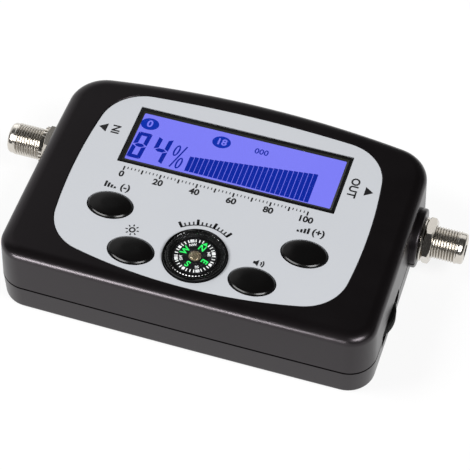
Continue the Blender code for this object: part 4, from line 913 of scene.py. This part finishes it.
# %% Scales
first, last = math.radians(128), math.radians(56)
for count, length, width, radius in ((13, 1.2, 0.42, 0.0114), (4, 2.0, 0.75, 0.0118)):
    marks = grown(ring, bar(0, 0, length, width), Count=count, Radius=radius, First_Turn=last,
                  Turn_Step=(first - last) / (count - 1), Finish=label_ink)
    inks.append(moved(marks, 0, COMPASS_Y))
inks.append(arc_print(0, COMPASS_Y / MM, 11.0, 10.7, last - 0.02, first + 0.02))
SCALE_START, SCALE_END, SCALE_Y = -29.0, 25.0, 1.75
step = (SCALE_END - SCALE_START) / 50
for count, width, length, y, apart in ((51, 0.24, 0.8, SCALE_Y, step), (11, 0.44, 1.5, SCALE_Y - 0.35, 5 * step)):
    inks.append(grown(row, bar(0, 0, width, length), Count=count, Start=(SCALE_START * MM, y * MM, 0),
                      Step=(apart * MM, 0, 0), Finish=label_ink))
for tenth in range(0, 11, 2):
    inks.append(word(str(tenth * 10), 2.9, SCALE_START + 5 * step * tenth, -0.85, 0, 0.10))
piece("label_print", joined(*inks), label_ink, "label_grey")

# %% [markdown]
# ## Display
#
# A black frame surrounds a clear cover over a liquid crystal glass. The frame's inner edge slopes down to the cover.
# The frame is lofted as a tube of rectangles, up the outside, over the top and down inside, and the slope is a second,
# thin tube with a lighter finish of its own: painted light for the light the slope catches, which gives the border its
# two tones.

# %% Frame, cover and screen
COVER_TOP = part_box("display_window")[0].z + 0.00015


def frame_mesh():
    low, high = DISPLAY_LOW, DISPLAY_HIGH
    land, slope = 0.0008, 0.00042

    def level(inset, height, further=0.0):
        across, along = inset + further * 0.65, inset + further * 0.85
        return rectangle(low.x + across, low.y + along, high.x - across, high.y - along, 0.00035, 3), height

    top = high.z
    cover_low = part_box("display_window")[0].z
    rim = [level(0, low.z), level(0, top - 0.0001), level(0.0001, top), level(land - 0.00005, top),
           level(land, top - 0.00005), level(land, COVER_TOP + 0.00001), level(0.00095, COVER_TOP + 0.00001),
           level(0.00095, cover_low - 0.00008), level(0.0007, cover_low - 0.00008), level(0.0007, low.z),
           level(0, low.z)]
    bevel = [level(land, top - 0.00008), level(land, COVER_TOP + 0.00003, slope * 2),
             level(land, COVER_TOP + 0.00002, slope * 2), level(land, COVER_TOP + 0.00002), level(land, top - 0.00008)]
    return [loft(rings, first=False, last=False) for rings in (rim, bevel)]


def slab(node, edge, top):
    """A plate over a node's own area with its upper rim rounded, and a flat ring that keeps its face flat."""
    low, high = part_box(node)
    rings = []
    for inset, height in ((0, low.z), (0, top - edge), (edge * 0.3, top - edge * 0.3), (edge, top), (edge * 4, top)):
        rings.append((rectangle(low.x + inset, low.y + inset, high.x - inset, high.y - inset, 0.0003, 3), height))
    return loft(rings)


rim_mesh, bevel_mesh = frame_mesh()
piece("display_frame", rim_mesh, frame_black, "bezel_black", "display_bezel")
piece("display_frame_bevel", bevel_mesh, frame_slope_painted_light, "bezel_black")
piece("display_cover", slab("display_window", 0.00004, COVER_TOP), cover_clear, "clear_plastic", "display_window")
piece("display_screen", slab("display_glass", 0.00005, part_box("display_glass")[1].z), screen_blue, "display_blue",
      "display_glass")

# %% [markdown]
# The screen's dark segments lie on the glass, just under the cover. The two digits are drawn from the seven strokes of
# a numeric display. The level bars rise from left to right, so they are made by a tree of their own: a row of unit
# blocks whose height follows the block's number.

# %% Screen digits and signs
SEG_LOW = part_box("display_glass")[1].z + 0.00001
SEG_HIGH = SEG_LOW + 0.00004
STROKES = {"4": "bcfg", "8": "abcdefg"}


def lit(*outlines):
    return plate([[(x * MM, y * MM) for x, y in outline] for outline in outlines], SEG_LOW, SEG_HIGH)


def digit(figure, x, y, width, height, stroke, lean=0.0):
    """One figure of seven strokes, with mitred ends and a hairline between strokes."""
    gap = stroke * 0.14
    half = height / 2
    corners = {"a": ((0, height), (width, height), (0, -1)), "g": ((0, half), (width, half), None),
               "d": ((0, 0), (width, 0), (0, 1)), "f": ((0, half), (0, height), (1, 0)),
               "b": ((width, half), (width, height), (-1, 0)), "e": ((0, 0), (0, half), (1, 0)),
               "c": ((width, 0), (width, half), (-1, 0))}
    made = []
    for name in STROKES[figure]:
        start, end, inward = (Vector(v) if v else None for v in corners[name])
        along = (end - start).normalized()
        start = start + along * gap
        end = end - along * gap
        if inward is None:
            across, point = Vector((0, 1)) * stroke / 2, along * stroke / 2 * 0.6
            left, right = start + along * stroke, end - along * stroke
            outline = [start + point, left + across, right + across, end - point, right - across, left - across]
        else:
            mitre = along * (0.5 if name in "bcef" else 1.0)
            outline = [start, start + (mitre + inward) * stroke, end + (inward - mitre) * stroke, end]
        made.append(lit([(x + p.x + lean * p.y, y + p.y) for p in outline]))
    return made


marks = digit("8", -30.25, 6.35, 4.1, 9.9, 1.25, 0.06) + digit("4", -24.0, 6.35, 4.3, 9.8, 1.25, 0.06)


def leaning(x, y, half_width, half_height, lean=0.0):
    """An ellipse whose top leans to the right."""
    return [(x + half_width * math.cos(turn) + lean * half_height * math.sin(turn), y + half_height * math.sin(turn))
            for turn in around(40)]


for x, y in ((-17.05, 12.6), (-15.05, 8.35)):
    marks.append(lit(leaning(x, y, 0.88, 2.12, 0.1), leaning(x, y, 0.38, 1.62, 0.1)))
marks.append(lit([(-17.52, 6.3), (-17.06, 6.3), (-14.36, 14.8), (-14.82, 14.8)]))
marks.append(letters("000", 2.75 * MM, 6.1 * MM, 19.4 * MM, SEG_LOW, SEG_HIGH, 0, 0.00004))
piece("screen_digits", joined(*marks), segment_blue, "display_blue")

# %% Screen badges
badges = [("0", -27.7, 19.8, 3.5), ("18", -5.9, 19.5, 3.2)]
ovals = [lit(leaning(x, y, 2.72, 2.2)) for words, x, y, size in badges]
piece("screen_badges", joined(*ovals), badge_blue, "display_blue")
figures = [letters(words, size * MM, x * MM, y * MM, SEG_HIGH + 0.000005, SEG_HIGH + 0.00002, 0, 0.00008)
           for words, x, y, size in badges]
piece("screen_badge_figures", joined(*figures), screen_blue, "display_blue")

# %% Tree: level bars
levels, given, result = new_tree(
    "level bars", ("Count", "NodeSocketInt", 26), ("Start", VECTOR, (0, 0, 0)), ("Step", VECTOR, (0.001, 0, 0)),
    ("Bar Width", NUMBER, 0.001), ("First Height", NUMBER, 0.004), ("Last Height", NUMBER, 0.008),
    ("Thickness", NUMBER, 0.00004))
line = add(levels, "GeometryNodeMeshLine", Count=given["Count"], Start_Location=given["Start"], Offset=given["Step"])
number = add(levels, "GeometryNodeInputIndex").outputs[0]
share = sums(levels, "DIVIDE", number, sums(levels, "SUBTRACT", given["Count"], 1.0))
rise = sums(levels, "MULTIPLY", share, sums(levels, "SUBTRACT", given["Last Height"], given["First Height"]))
tall = sums(levels, "ADD", rise, given["First Height"])
size = fed(levels, "ShaderNodeCombineXYZ", given["Bar Width"], tall, given["Thickness"])
ended(levels, copies(levels, line.outputs[0], given, Scale=size), given, result)
block = plate([[(0, 0), (1, 0), (1, 1), (0, 1)]], 0, 1)
bar_step = (24.0 + 12.75) / 26
bars = grown(levels, block, Count=26, Start=(-12.75 * MM, 6.2 * MM, SEG_LOW),
             Step=(bar_step * MM, -0.02 * MM, 0), Bar_Width=(bar_step - 0.16) * MM, First_Height=5.5 * MM,
             Last_Height=10.6 * MM, Thickness=SEG_HIGH - SEG_LOW, Finish=segment_blue)
piece("screen_level_bars", bars, segment_blue, "display_blue")

# %% [markdown]
# ## Buttons
#
# Each button is an oval key with a flange under the case. Its outline is lofted with a bevelled rim, and the face is
# slightly crowned, so a soft light slides over it. Each one rides on its own body, because it moves.

# %% Buttons
def button(node):
    low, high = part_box(node)
    flange, crown, rim_width = 0.0008, 0.00032, 0.00066
    flange_top, top = low.z + flange, high.z - crown
    rings = [(button_oval(flange), low.z), (button_oval(flange), flange_top), (button_oval(), flange_top),
             (button_oval(), top - rim_width)]
    for inset, drop in ((0.00001, 0.00056), (0.00005, 0.00048), (0.00013, 0.00038), (0.00037, 0.00014),
                        (0.00046, 0.00007), (0.00056, 0.00003), (rim_width, 0.0)):
        rings.append((button_oval(-inset), top - drop))
    for share in (0.12, 0.25, 0.5, 0.75, 0.95):
        inset = rim_width + share * 0.0035
        rings.append((button_oval(-inset), high.z - crown * (1 - share) ** 2))
    return moved(loft(rings), middle(node).x, middle(node).y)


for name in BUTTONS:
    key = name + "_key"
    piece(key, button(name + "_button"), button_black, "button_black", name + "_button", body=key)

# %% [markdown]
# ## Compass
#
# A black capsule with a raised rim holds a clear lens over a turning dial. The dial has 32 marks, of which each fourth
# is wide, green letters with a painted glow for the four main directions and an arrowhead for north. The dial turns on
# a steel point under a copper cap.

# %% Capsule and lens
capsule_low, capsule_top = (corner.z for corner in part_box("compass_housing"))
lens_low, lens_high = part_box("compass_lens")
card_low, card_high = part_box("compass_card")
rim = COMPASS_RADIUS - 0.00055
ledge = lens_low.z - 0.0001
profile = [(0, capsule_low + 0.0015), (0.0066, capsule_low + 0.0015), (0.0066, ledge - 0.0012), (rim - 0.0005, ledge),
           (rim, ledge), (rim, capsule_top), (COMPASS_RADIUS, capsule_top), (COMPASS_RADIUS, UNDERSIDE - 0.0003),
           (0.0096, UNDERSIDE - 0.0003), (0.0096, UNDERSIDE - 0.0013), (COMPASS_RADIUS, UNDERSIDE - 0.0013),
           (COMPASS_RADIUS, capsule_low), (0, capsule_low)]
capsule = turned(softened(profile, 0.00018), 96)
piece("compass_capsule", moved(capsule, 0, COMPASS_Y), capsule_black, "compass_black", "compass_housing")
notch = loft([(rectangle(-0.00026, -0.00021, 0.00026, 0.00021, 0.00005, 2), lens_high.z + 0.00001),
              (rectangle(-0.00022, -0.00017, 0.00006, 0.00017, 0.00004, 2), capsule_top - 0.00002)])
notches = all_round(notch, 52, rim - 0.0010, gloss_black)
piece("compass_rim_notches", moved(notches, 0, COMPASS_Y), gloss_black, "compass_black")
lens_radius = rim - 0.0001
dome = [(lens_radius * math.sin(k * math.pi / 20), lens_high.z - 0.00002 - 0.0001 * (1 - math.cos(k * math.pi / 20)))
        for k in range(11)]
lens = turned(dome + [(lens_radius, lens_low.z), (0, lens_low.z)], 96)
piece("compass_cover", moved(lens, 0, COMPASS_Y), lens_clear, "clear_plastic", "compass_lens")

# %% Dial
NORTH = math.radians(71)
DIAL_RADIUS, DIAL_HOLE = 0.00615, 0.0015
disc = turned(softened([(DIAL_HOLE, card_low.z), (DIAL_HOLE, card_high.z), (DIAL_RADIUS, card_high.z),
                        (DIAL_RADIUS, card_low.z), (DIAL_HOLE, card_low.z)], 0.0001), 96)
piece("compass_dial", moved(disc, 0, COMPASS_Y), dial_black, "card_black", "compass_card", body="compass_rotor")
DIAL_LOW, DIAL_HIGH = card_high.z + 0.00001, card_high.z + 0.00004
MARK_RADIUS = 0.00517


def dial_mark(width, length):
    return plate([rectangle(-length / 2, -width / 2, length / 2, width / 2, width * 0.1, 1)], DIAL_LOW, DIAL_HIGH)


step = math.tau / 32
narrow = [grown(ring, dial_mark(0.00027, 0.00096), Count=3, Radius=MARK_RADIUS, First_Turn=NORTH + turn + step,
                Turn_Step=step, Finish=white_ink) for turn in around(8)]
triple = joined(*[moved(dial_mark(0.00022, 0.00096), 0, offset * MM) for offset in (-0.42, -0.14, 0.14, 0.42)])
wide = all_round(triple, 4, MARK_RADIUS, white_ink, NORTH + math.tau / 8)
square = grown(ring, dial_mark(0.00078, 0.00088), Count=3, Radius=MARK_RADIUS, First_Turn=NORTH + math.tau / 4,
               Turn_Step=math.tau / 4, Finish=white_ink)


def dial_letters(words, size, radius, eighth, heavy):
    """Letters that stand on the dial with their foot toward its middle, counted in eighths from north."""
    angle = NORTH + eighth * math.tau / 8
    return letters(words, size, radius * math.cos(angle), radius * math.sin(angle), DIAL_LOW, DIAL_HIGH,
                   angle - math.pi / 2, heavy)


small = [dial_letters(words, 0.00115, 0.0038, eighth, 0.00002)
         for eighth, words in ((1, "NW"), (3, "SW"), (5, "SE"), (7, "NE"))]
piece("compass_dial_marks", moved(joined(*narrow, wide, square, *small), 0, COMPASS_Y), white_ink, "card_black",
      body="compass_rotor")

# %% Green letters, arrowhead and cap
green = [dial_letters(words, 0.0026, 0.0032, 2 * quarter, 0.00007) for quarter, words in enumerate("NWSE")]
arrow = plate([[(0.0056, 0), (0.0044, 0.00072), (0.0044, -0.00072)]], DIAL_LOW, DIAL_HIGH)
green.append(moved(arrow, turn=NORTH))
piece("compass_letters", moved(joined(*green), 0, COMPASS_Y), green_ink, "card_black", body="compass_rotor")
jewel_low, jewel_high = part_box("compass_jewel")
seat_height = card_high.z + 0.0001
cap = [(0, 0), (0.0005, -0.00001), (0.0009, -0.00003), (0.00115, -0.00006), (0.0013, -0.00011), (0.00142, -0.0002),
       (0.00155, -0.00033), (0.00166, -0.0005), (0.00172, -0.0007)]
cap = [(radius, max(jewel_high.z + drop, seat_height - 0.00008)) for radius, drop in cap]
cap += [(0.0012, seat_height), (0.0012, jewel_low.z), (0.0008, jewel_low.z), (0, jewel_low.z + 0.0009)]
piece("compass_cap", moved(turned(cap, 48), 0, COMPASS_Y), copper, "jewel_copper", "compass_jewel",
      body="compass_rotor")

# %% [markdown]
# ## Threaded sockets
#
# The sockets have the usual coaxial thread, 32 turns to the inch. A plain barrel is turned with closely spaced rings,
# and a small tree then moves its points inward along a helix: the groove's depth depends only on the distance along
# the barrel and the turn round it, so one rule makes the whole thread.

# %% Tree: thread
def distance(tree, x, y):
    """How far a point lies from an axis, across and along."""
    return sums(tree, "SQRT", sums(tree, "ADD", sums(tree, "MULTIPLY", x, x), sums(tree, "MULTIPLY", y, y)))


PITCH = 0.000794
RUN_OUT = 0.0004
thread, given, result = new_tree(
    "thread", ("Pitch", NUMBER, PITCH), ("Depth", NUMBER, 0.00045), ("From", NUMBER, 0.0), ("To", NUMBER, 0.01),
    ("Least Radius", NUMBER, 0.0045))
spot = add(thread, "GeometryNodeInputPosition").outputs[0]
apart = add(thread, "ShaderNodeSeparateXYZ", Vector=spot).outputs
radius = distance(thread, apart[0], apart[1])
turn = sums(thread, "DIVIDE", sums(thread, "ARCTAN2", apart[1], apart[0]), math.tau)
phase = sums(thread, "FRACT", sums(thread, "SUBTRACT", sums(thread, "DIVIDE", apart[2], given["Pitch"]), turn))
wave = sums(thread, "ABSOLUTE", sums(thread, "SUBTRACT", sums(thread, "MULTIPLY", phase, 2.0), 1.0))
groove = ranged(thread, wave, 0.05, 1.0, kind=SMOOTH)
begun = ranged(thread, sums(thread, "SUBTRACT", apart[2], given["From"]), 0.0, RUN_OUT)
stopped = ranged(thread, sums(thread, "SUBTRACT", given["To"], apart[2]), 0.0, RUN_OUT)
outer = sums(thread, "GREATER_THAN", radius, given["Least Radius"])
cut = sums(thread, "MULTIPLY", sums(thread, "MULTIPLY", groove, given["Depth"]),
           sums(thread, "MULTIPLY", sums(thread, "MULTIPLY", begun, stopped), outer))
inward = sums(thread, "DIVIDE", sums(thread, "MULTIPLY", cut, -1.0), radius)
shift = fed(thread, "ShaderNodeCombineXYZ", *[sums(thread, "MULTIPLY", apart[axis], inward) for axis in (0, 1)])
carved = add(thread, "GeometryNodeSetPosition", Geometry=given["Geometry"], Offset=shift).outputs[0]
ended(thread, carved, given, result)
print("thread nodes", len(thread.nodes))

# %% [markdown]
# The barrels' metal is painted darker and duller toward the root of the thread, as painted shade for the grooves. The
# distance from the sockets' axis says where the root is.

# %% Metal of the barrels
def nickel_with_painted_root_shade():
    made = metal("threaded nickel", *NICKEL, (0.15, 0.24))
    tree, shader = made.node_tree, made.node_tree.nodes["Principled BSDF"]
    apart = add(tree, "ShaderNodeSeparateXYZ", Vector=place(tree)).outputs
    radius = distance(tree, sums(tree, "SUBTRACT", apart[1], SOCKET_Y), sums(tree, "SUBTRACT", apart[2], SOCKET_Z))
    # Painted shade: toward the thread's root the colour goes dark brown, while the crest and the tip keep the bare
    # nickel.
    crest = ranged(tree, radius, 0.00433, 0.00442, kind=SMOOTH)
    tip = ranged(tree, sums(tree, "ABSOLUTE", apart[0]), 0.0664, 0.0666)
    bright = sums(tree, "MAXIMUM", crest, tip)
    colour, gloss = (shader.inputs[label].links[0].from_socket for label in ("Base Color", "Roughness"))
    tree.links.new(blend(tree, bright, (0.11, 0.098, 0.082, 1), colour), shader.inputs["Base Color"])
    tree.links.new(ranged(tree, bright, 0.0, 1.0, 0.5, gloss), shader.inputs["Roughness"])
    return made


thread_nickel = nickel_with_painted_root_shade()
print("barrel finish nodes", len(thread_nickel.node_tree.nodes))

# %% Barrels
BORE_RADIUS, TIP_RADIUS, THREAD_RADIUS, FLANGE_RADIUS = 0.0033, 0.0045, 0.0047, 0.0063
TAIL, FLANGE, PLAIN_TIP, BORE_DEPTH = 0.0050, 0.0014, 0.0018, 0.0100


def barrel(node, side):
    tail, tip = span(node, side)
    flange = tail + TAIL
    wall = flange + FLANGE
    smooth = tip - PLAIN_TIP
    bore = tip - BORE_DEPTH
    profile = [(BORE_RADIUS, bore), (BORE_RADIUS, tip - 0.0001), (0.0034, tip), (0.0037, tip)]
    for k in range(1, 7):
        turn = math.radians(15 * k)
        profile.append((0.0037 + 0.0008 * math.sin(turn), tip - 0.0009 * (1 - math.cos(turn))))
    first = smooth - 0.0002
    profile += [(TIP_RADIUS, tip - 0.0010), (TIP_RADIUS, smooth + 0.0001), (TIP_RADIUS, smooth),
                (THREAD_RADIUS, first)]
    rings = int((first - wall) / (PITCH / 12))
    profile += [(THREAD_RADIUS, first - (first - wall) * k / rings) for k in range(1, rings + 1)]
    profile += [(FLANGE_RADIUS, wall), (FLANGE_RADIUS, flange), (0.0020, flange), (0.0020, tail), (0.0012, tail),
                (0.0012, bore), (BORE_RADIUS, bore)]
    made = grown(thread, turned(profile), Pitch=PITCH, Depth=0.00038, From=wall + 0.0002, To=smooth - 0.0003,
                 Least_Radius=0.0046, Finish=thread_nickel)
    return on_socket(made, side)


for name, side in (("lnb", -1), ("receiver", 1)):
    piece(name + "_barrel", barrel(name + "_connector", side), thread_nickel, "nickel_plate", name + "_connector",
          sharp=60)

# %% [markdown]
# Inside each barrel sits a white insulator with a split contact for the cable's wire. Both are small turned pieces
# with softened edges.

# %% Insulators and contacts
def tube(node, side, outer, inner, soft):
    near, far = span(node, side)
    return on_socket(turned_ring([(inner, near), (outer, near), (outer, far), (inner, far)], soft, 48), side)


def contact(node, side):
    near, far = span(node, side)
    profile = softened([(0, near), (0.0007, near), (0.0007, far), (0.0004, far), (0.0004, far - 0.005),
                        (0, far - 0.005)], 0.00012)
    slit = plate([rectangle(-0.0012, -0.00006, 0.0012, 0.00006, 0.00002, 1)], far - 0.0020, far + 0.0010)
    return on_socket(worked(turned(profile, 40), [("DIFFERENCE", slit)]), side)


for name, side in (("lnb", -1), ("receiver", 1)):
    piece(name + "_socket_insulator", tube(name + "_insulator", side, 0.0032, 0.0008, 0.0002), insulator_white,
          "insulator_white", name + "_insulator")
    piece(name + "_socket_contact", contact(name + "_contact", side), brass, "contact_brass", name + "_contact")

# %% [markdown]
# A hexagon nut is a hexagonal bar turned on a lathe to chamfer its corners. So at each angle its radius is the
# smaller of the hexagon's and the cone's, and rings drawn by that rule give the curved chamfer lines of a real nut.

# %% Nuts, washer and toothed collar
HOLE = 0.0048


def nut(node, side, flats=0.0118, turn=math.radians(53), steps=96):
    near, far = span(node, side)
    half = flats / 2
    corner = half / math.cos(math.pi / 6)
    shape = bmesh.new()

    def ring_of(radii, height):
        return [shape.verts.new((radius * math.cos(angle + turn), radius * math.sin(angle + turn), height))
                for radius, angle in zip(radii, around(steps))]

    hexagon = [half / math.cos((angle + math.pi / 6) % (math.pi / 3) - math.pi / 6) for angle in around(steps)]
    chamfer = 0.0006
    levels = [(near, 0.0)] + [(near + chamfer * k / 6, k / 6) for k in range(1, 7)]
    levels += [(far - chamfer * k / 6, k / 6) for k in range(6, 0, -1)] + [(far, 0.0)]
    rings = []
    for height, share in levels:
        cone = half - 0.0001 + (corner - half + 0.0001) * share
        rings.append(ring_of([min(reach, cone) for reach in hexagon], height))
    for radius, height in ((0.0050, far), (HOLE, far - 0.0002), (HOLE, near + 0.0002), (0.0050, near)):
        rings.append(ring_of([radius] * steps, height))
    for below, above in zip(rings, rings[1:] + rings[:1]):
        bridge(shape, below, above)
    return on_socket(mesh_from(shape), side)


for name, side in (("receiver", 1), ("lnb", -1)):
    piece(name + "_hexagon_nut", nut(name + "_nut", side), nickel, "nickel_plate", name + "_nut", sharp=25)
piece("receiver_flat_washer", tube("receiver_washer", 1, 0.0064, HOLE, 0.0001), nickel, "nickel_plate",
      "receiver_washer")
near, far = span("lnb_lock_collar", -1)
core = turned_ring([(HOLE, near), (0.0052, near), (0.0052, far), (HOLE, far)], 0.0001, 72)
tooth = plate([rectangle(-0.00045, -0.00036, 0.00025, 0.00036, 0.0001, 2)], near + 0.00005, far - 0.00005)
teeth = all_round(tooth, 24, 0.00535, nickel)
piece("lnb_toothed_collar", on_socket(joined(core, teeth), -1), nickel, "nickel_plate", "lnb_lock_collar")

# %% [markdown]
# ## Thumbwheel
#
# The wheel's rim has fine ribs across it for the thumb. One rib is drawn and a ring of copies covers the rim, with the
# disc just under their crests.

# %% Thumbwheel
low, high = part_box("thumbwheel")
disc = turned_ring([(0.0018, low.z), (0.0085, low.z), (0.0086, low.z + 0.0001), (0.0086, high.z - 0.0001),
                    (0.0085, high.z), (0.0018, high.z)], 0.0001, 96, 2)
foot_outline = rectangle(-0.0003, -0.00009, 0.00020, 0.00009, 0.00006, 2)
crest_outline = rectangle(-0.0003, -0.00011, 0.00031, 0.00011, 0.00008, 2)
rib = loft([(foot_outline, low.z + 0.0002), (crest_outline, low.z + 0.0005), (crest_outline, high.z - 0.0005),
            (foot_outline, high.z - 0.0002)])
ribs = all_round(rib, 96, 0.00867, wheel_black)
piece("ribbed_thumbwheel", moved(joined(disc, ribs), middle("thumbwheel").x, middle("thumbwheel").y), wheel_black,
      "wheel_black", "thumbwheel", body="thumbwheel_rotor")

# %% [markdown]
# ## Parts inside
#
# The inner solids are already the right shape, because the case hides them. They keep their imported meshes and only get
# a real finish.

# %% Finishes for the inner nodes
INNER = {"display_backlight": diffuser, "display_contact_strip": strip_rubber, "main_board": board_green,
         "tuner_shield": tinplate, "piezo_buzzer": switch_black, "microcontroller": chip_resin,
         "voltage_regulator": chip_resin, "smoothing_capacitor": aluminium, "compass_magnet": ferrite,
         "compass_pivot": steel, "thumbwheel_shaft": steel, "potentiometer_body": switch_black}
for name in BUTTONS:
    INNER[name + "_switch"] = switch_black
    INNER[name + "_plunger"] = plunger_white
for name, look in INNER.items():
    frame["nodes"][name].data.materials.clear()
    frame["nodes"][name].data.materials.append(look)
shown = [name for name, thing in frame["nodes"].items() if not thing.hide_render and name not in INNER]
print("inner nodes dressed", len(INNER), "left undressed", shown)

# %% [markdown]
# ## Floor and light
#
# The meter lies on a plain white floor. The floor is part light and part paint: it looks white to the camera and in
# the metal, and the painted part still takes the meter's shadow. The sky is dark overhead and in front, as under a
# black studio ceiling, and a pale backdrop rises behind and to the left. So the case's top stays black, its walls
# mirror the floor, and the metal shows both.

# %% Floor
PAINT, DIM_PAINT, GLOW = 0.80, 0.16, 0.86


def stage_floor():
    made, tree, shader = new_material("white floor")
    tree.nodes.clear()
    paint, dim_paint = (add(tree, "ShaderNodeBsdfDiffuse", Color=(tone, tone, tone, 1)).outputs[0]
                        for tone in (PAINT, DIM_PAINT))
    seen = fed(tree, "ShaderNodeAddShader", dim_paint, add(tree, "ShaderNodeEmission", Strength=GLOW).outputs[0])
    path = add(tree, "ShaderNodeLightPath").outputs
    either = sums(tree, "MAXIMUM", path["Is Camera Ray"],
                  sums(tree, "MAXIMUM", path["Is Glossy Ray"], path["Is Transmission Ray"]))
    from_above = fed(tree, "ShaderNodeMixShader", either, paint, seen)
    whole = fed(tree, "ShaderNodeMixShader", add(tree, "ShaderNodeNewGeometry").outputs["Backfacing"], from_above,
                add(tree, "ShaderNodeBsdfTransparent").outputs[0])
    tree.links.new(whole, add(tree, "ShaderNodeOutputMaterial").inputs[0])
    shape = bmesh.new()
    bmesh.ops.create_grid(shape, x_segments=2, y_segments=2, size=6)
    mesh = bpy.data.meshes.new("floor")
    shape.to_mesh(mesh)
    shape.free()
    mesh.materials.append(made)
    floor = linked("floor", mesh)
    floor.location.z = -0.00005


stage_floor()

# %% Sky
world = bpy.data.worlds.new("studio")
world.use_nodes = True
bpy.context.scene.world = world
tree = world.node_tree
toward = add(tree, "ShaderNodeSeparateXYZ", Vector=add(tree, "ShaderNodeTexCoord").outputs["Generated"]).outputs
behind = ranged(tree, toward[1], -0.20, 0.35, kind=SMOOTH)
backdrop = sums(tree, "MULTIPLY", ranged(tree, toward[2], 0.46, 0.66, 0.95, 0.05, SMOOTH),
                ranged(tree, toward[0], -0.34, -0.10, 1.0, 0.12, SMOOTH))
far_left = sums(tree, "MULTIPLY", ranged(tree, toward[2], 0.80, 0.92, 0.60, 0.05, SMOOTH),
                ranged(tree, toward[0], -0.32, -0.25, 1.0, 0.0, SMOOTH))
strength = sums(tree, "MULTIPLY", behind, sums(tree, "MAXIMUM", backdrop, far_left))
strength = sums(tree, "MAXIMUM", strength, 0.05)
path = add(tree, "ShaderNodeLightPath").outputs
tree.links.new(sums(tree, "MAXIMUM", strength, path["Is Camera Ray"]), tree.nodes["Background"].inputs["Strength"])
tree.nodes["Background"].inputs["Color"].default_value = (1, 1, 1, 1)
print("sky nodes", len(tree.nodes))

# %% [markdown]
# Two softboxes at the sides light the label evenly, and they are kept out of reflections, so the black case stays free
# of their glare. The other lamps are seen only by some pieces. A low strip at the front left draws the bright line
# along the case's front edge and a lamp at the right puts the spot on the near corner. The metal has a tall lamp in
# front, for the bright band along each barrel, and a pale one behind. Two small lamps draw the arcs on the buttons'
# rims, and a third lights the notches of the compass's rim.

# %% Lamps
def softbox(name, azimuth, elevation, width, height, power):
    """A lamp a metre away, aimed at the meter. Azimuth 0 is straight in front, and positive is to the right."""
    lamp_data = bpy.data.lights.new(name, "AREA")
    lamp_data.shape = "RECTANGLE"
    lamp_data.size = width
    lamp_data.size_y = height
    lamp_data.energy = power
    lamp_object = bpy.data.objects.new(name, lamp_data)
    turn, rise = math.radians(azimuth), math.radians(elevation)
    spot = Vector((math.sin(turn) * math.cos(rise), -math.cos(turn) * math.cos(rise), math.sin(rise)))
    lamp_object.matrix_world = Matrix.Translation(spot) @ spot.to_track_quat("Z", "Y").to_matrix().to_4x4()
    bpy.context.scene.collection.objects.link(lamp_object)
    return lamp_object


def lights_only(name, lamps, finishes):
    """Links lamps to the pieces that have one of these finishes."""
    lit_pieces = bpy.data.collections.new(name)
    for thing in bpy.context.scene.objects:
        if thing.type == "MESH" and any(slot.material in finishes for slot in thing.material_slots):
            lit_pieces.objects.link(thing)
    for lamp in lamps:
        lamp.light_linking.receiver_collection = lit_pieces


for side in (-1, 1):
    filling = softbox("side softbox", side * 72, 50, 0.4, 0.4, 5.9)
    filling.visible_glossy = False
lights_only("lit by the case lamps", [softbox("front strip", -21, 5, 0.52, 0.32, 17.5),
                                      softbox("corner lamp", 48, 39, 0.52, 0.28, 9.5)], [case_black])
lights_only("lit by the barrel lamp", [softbox("metal band", -18, 47, 0.62, 0.64, 13.0)], [thread_nickel])
lights_only("lit by the metal backdrop", [softbox("metal backdrop", 180, 32, 1.4, 0.7, 2.8)],
            [nickel, thread_nickel])
lights_only("lit by the notch lamp", [softbox("notch glint", 5, 36, 0.9, 0.44, 22.0)], [gloss_black, copper])
lights_only("lit by the glint lamps", [softbox("left glint", -40, 33, 0.75, 0.36, 8.0),
                                       softbox("right glint", 34, 36, 0.46, 0.34, 7.0)],
            [button_black, capsule_black, gloss_black, copper])
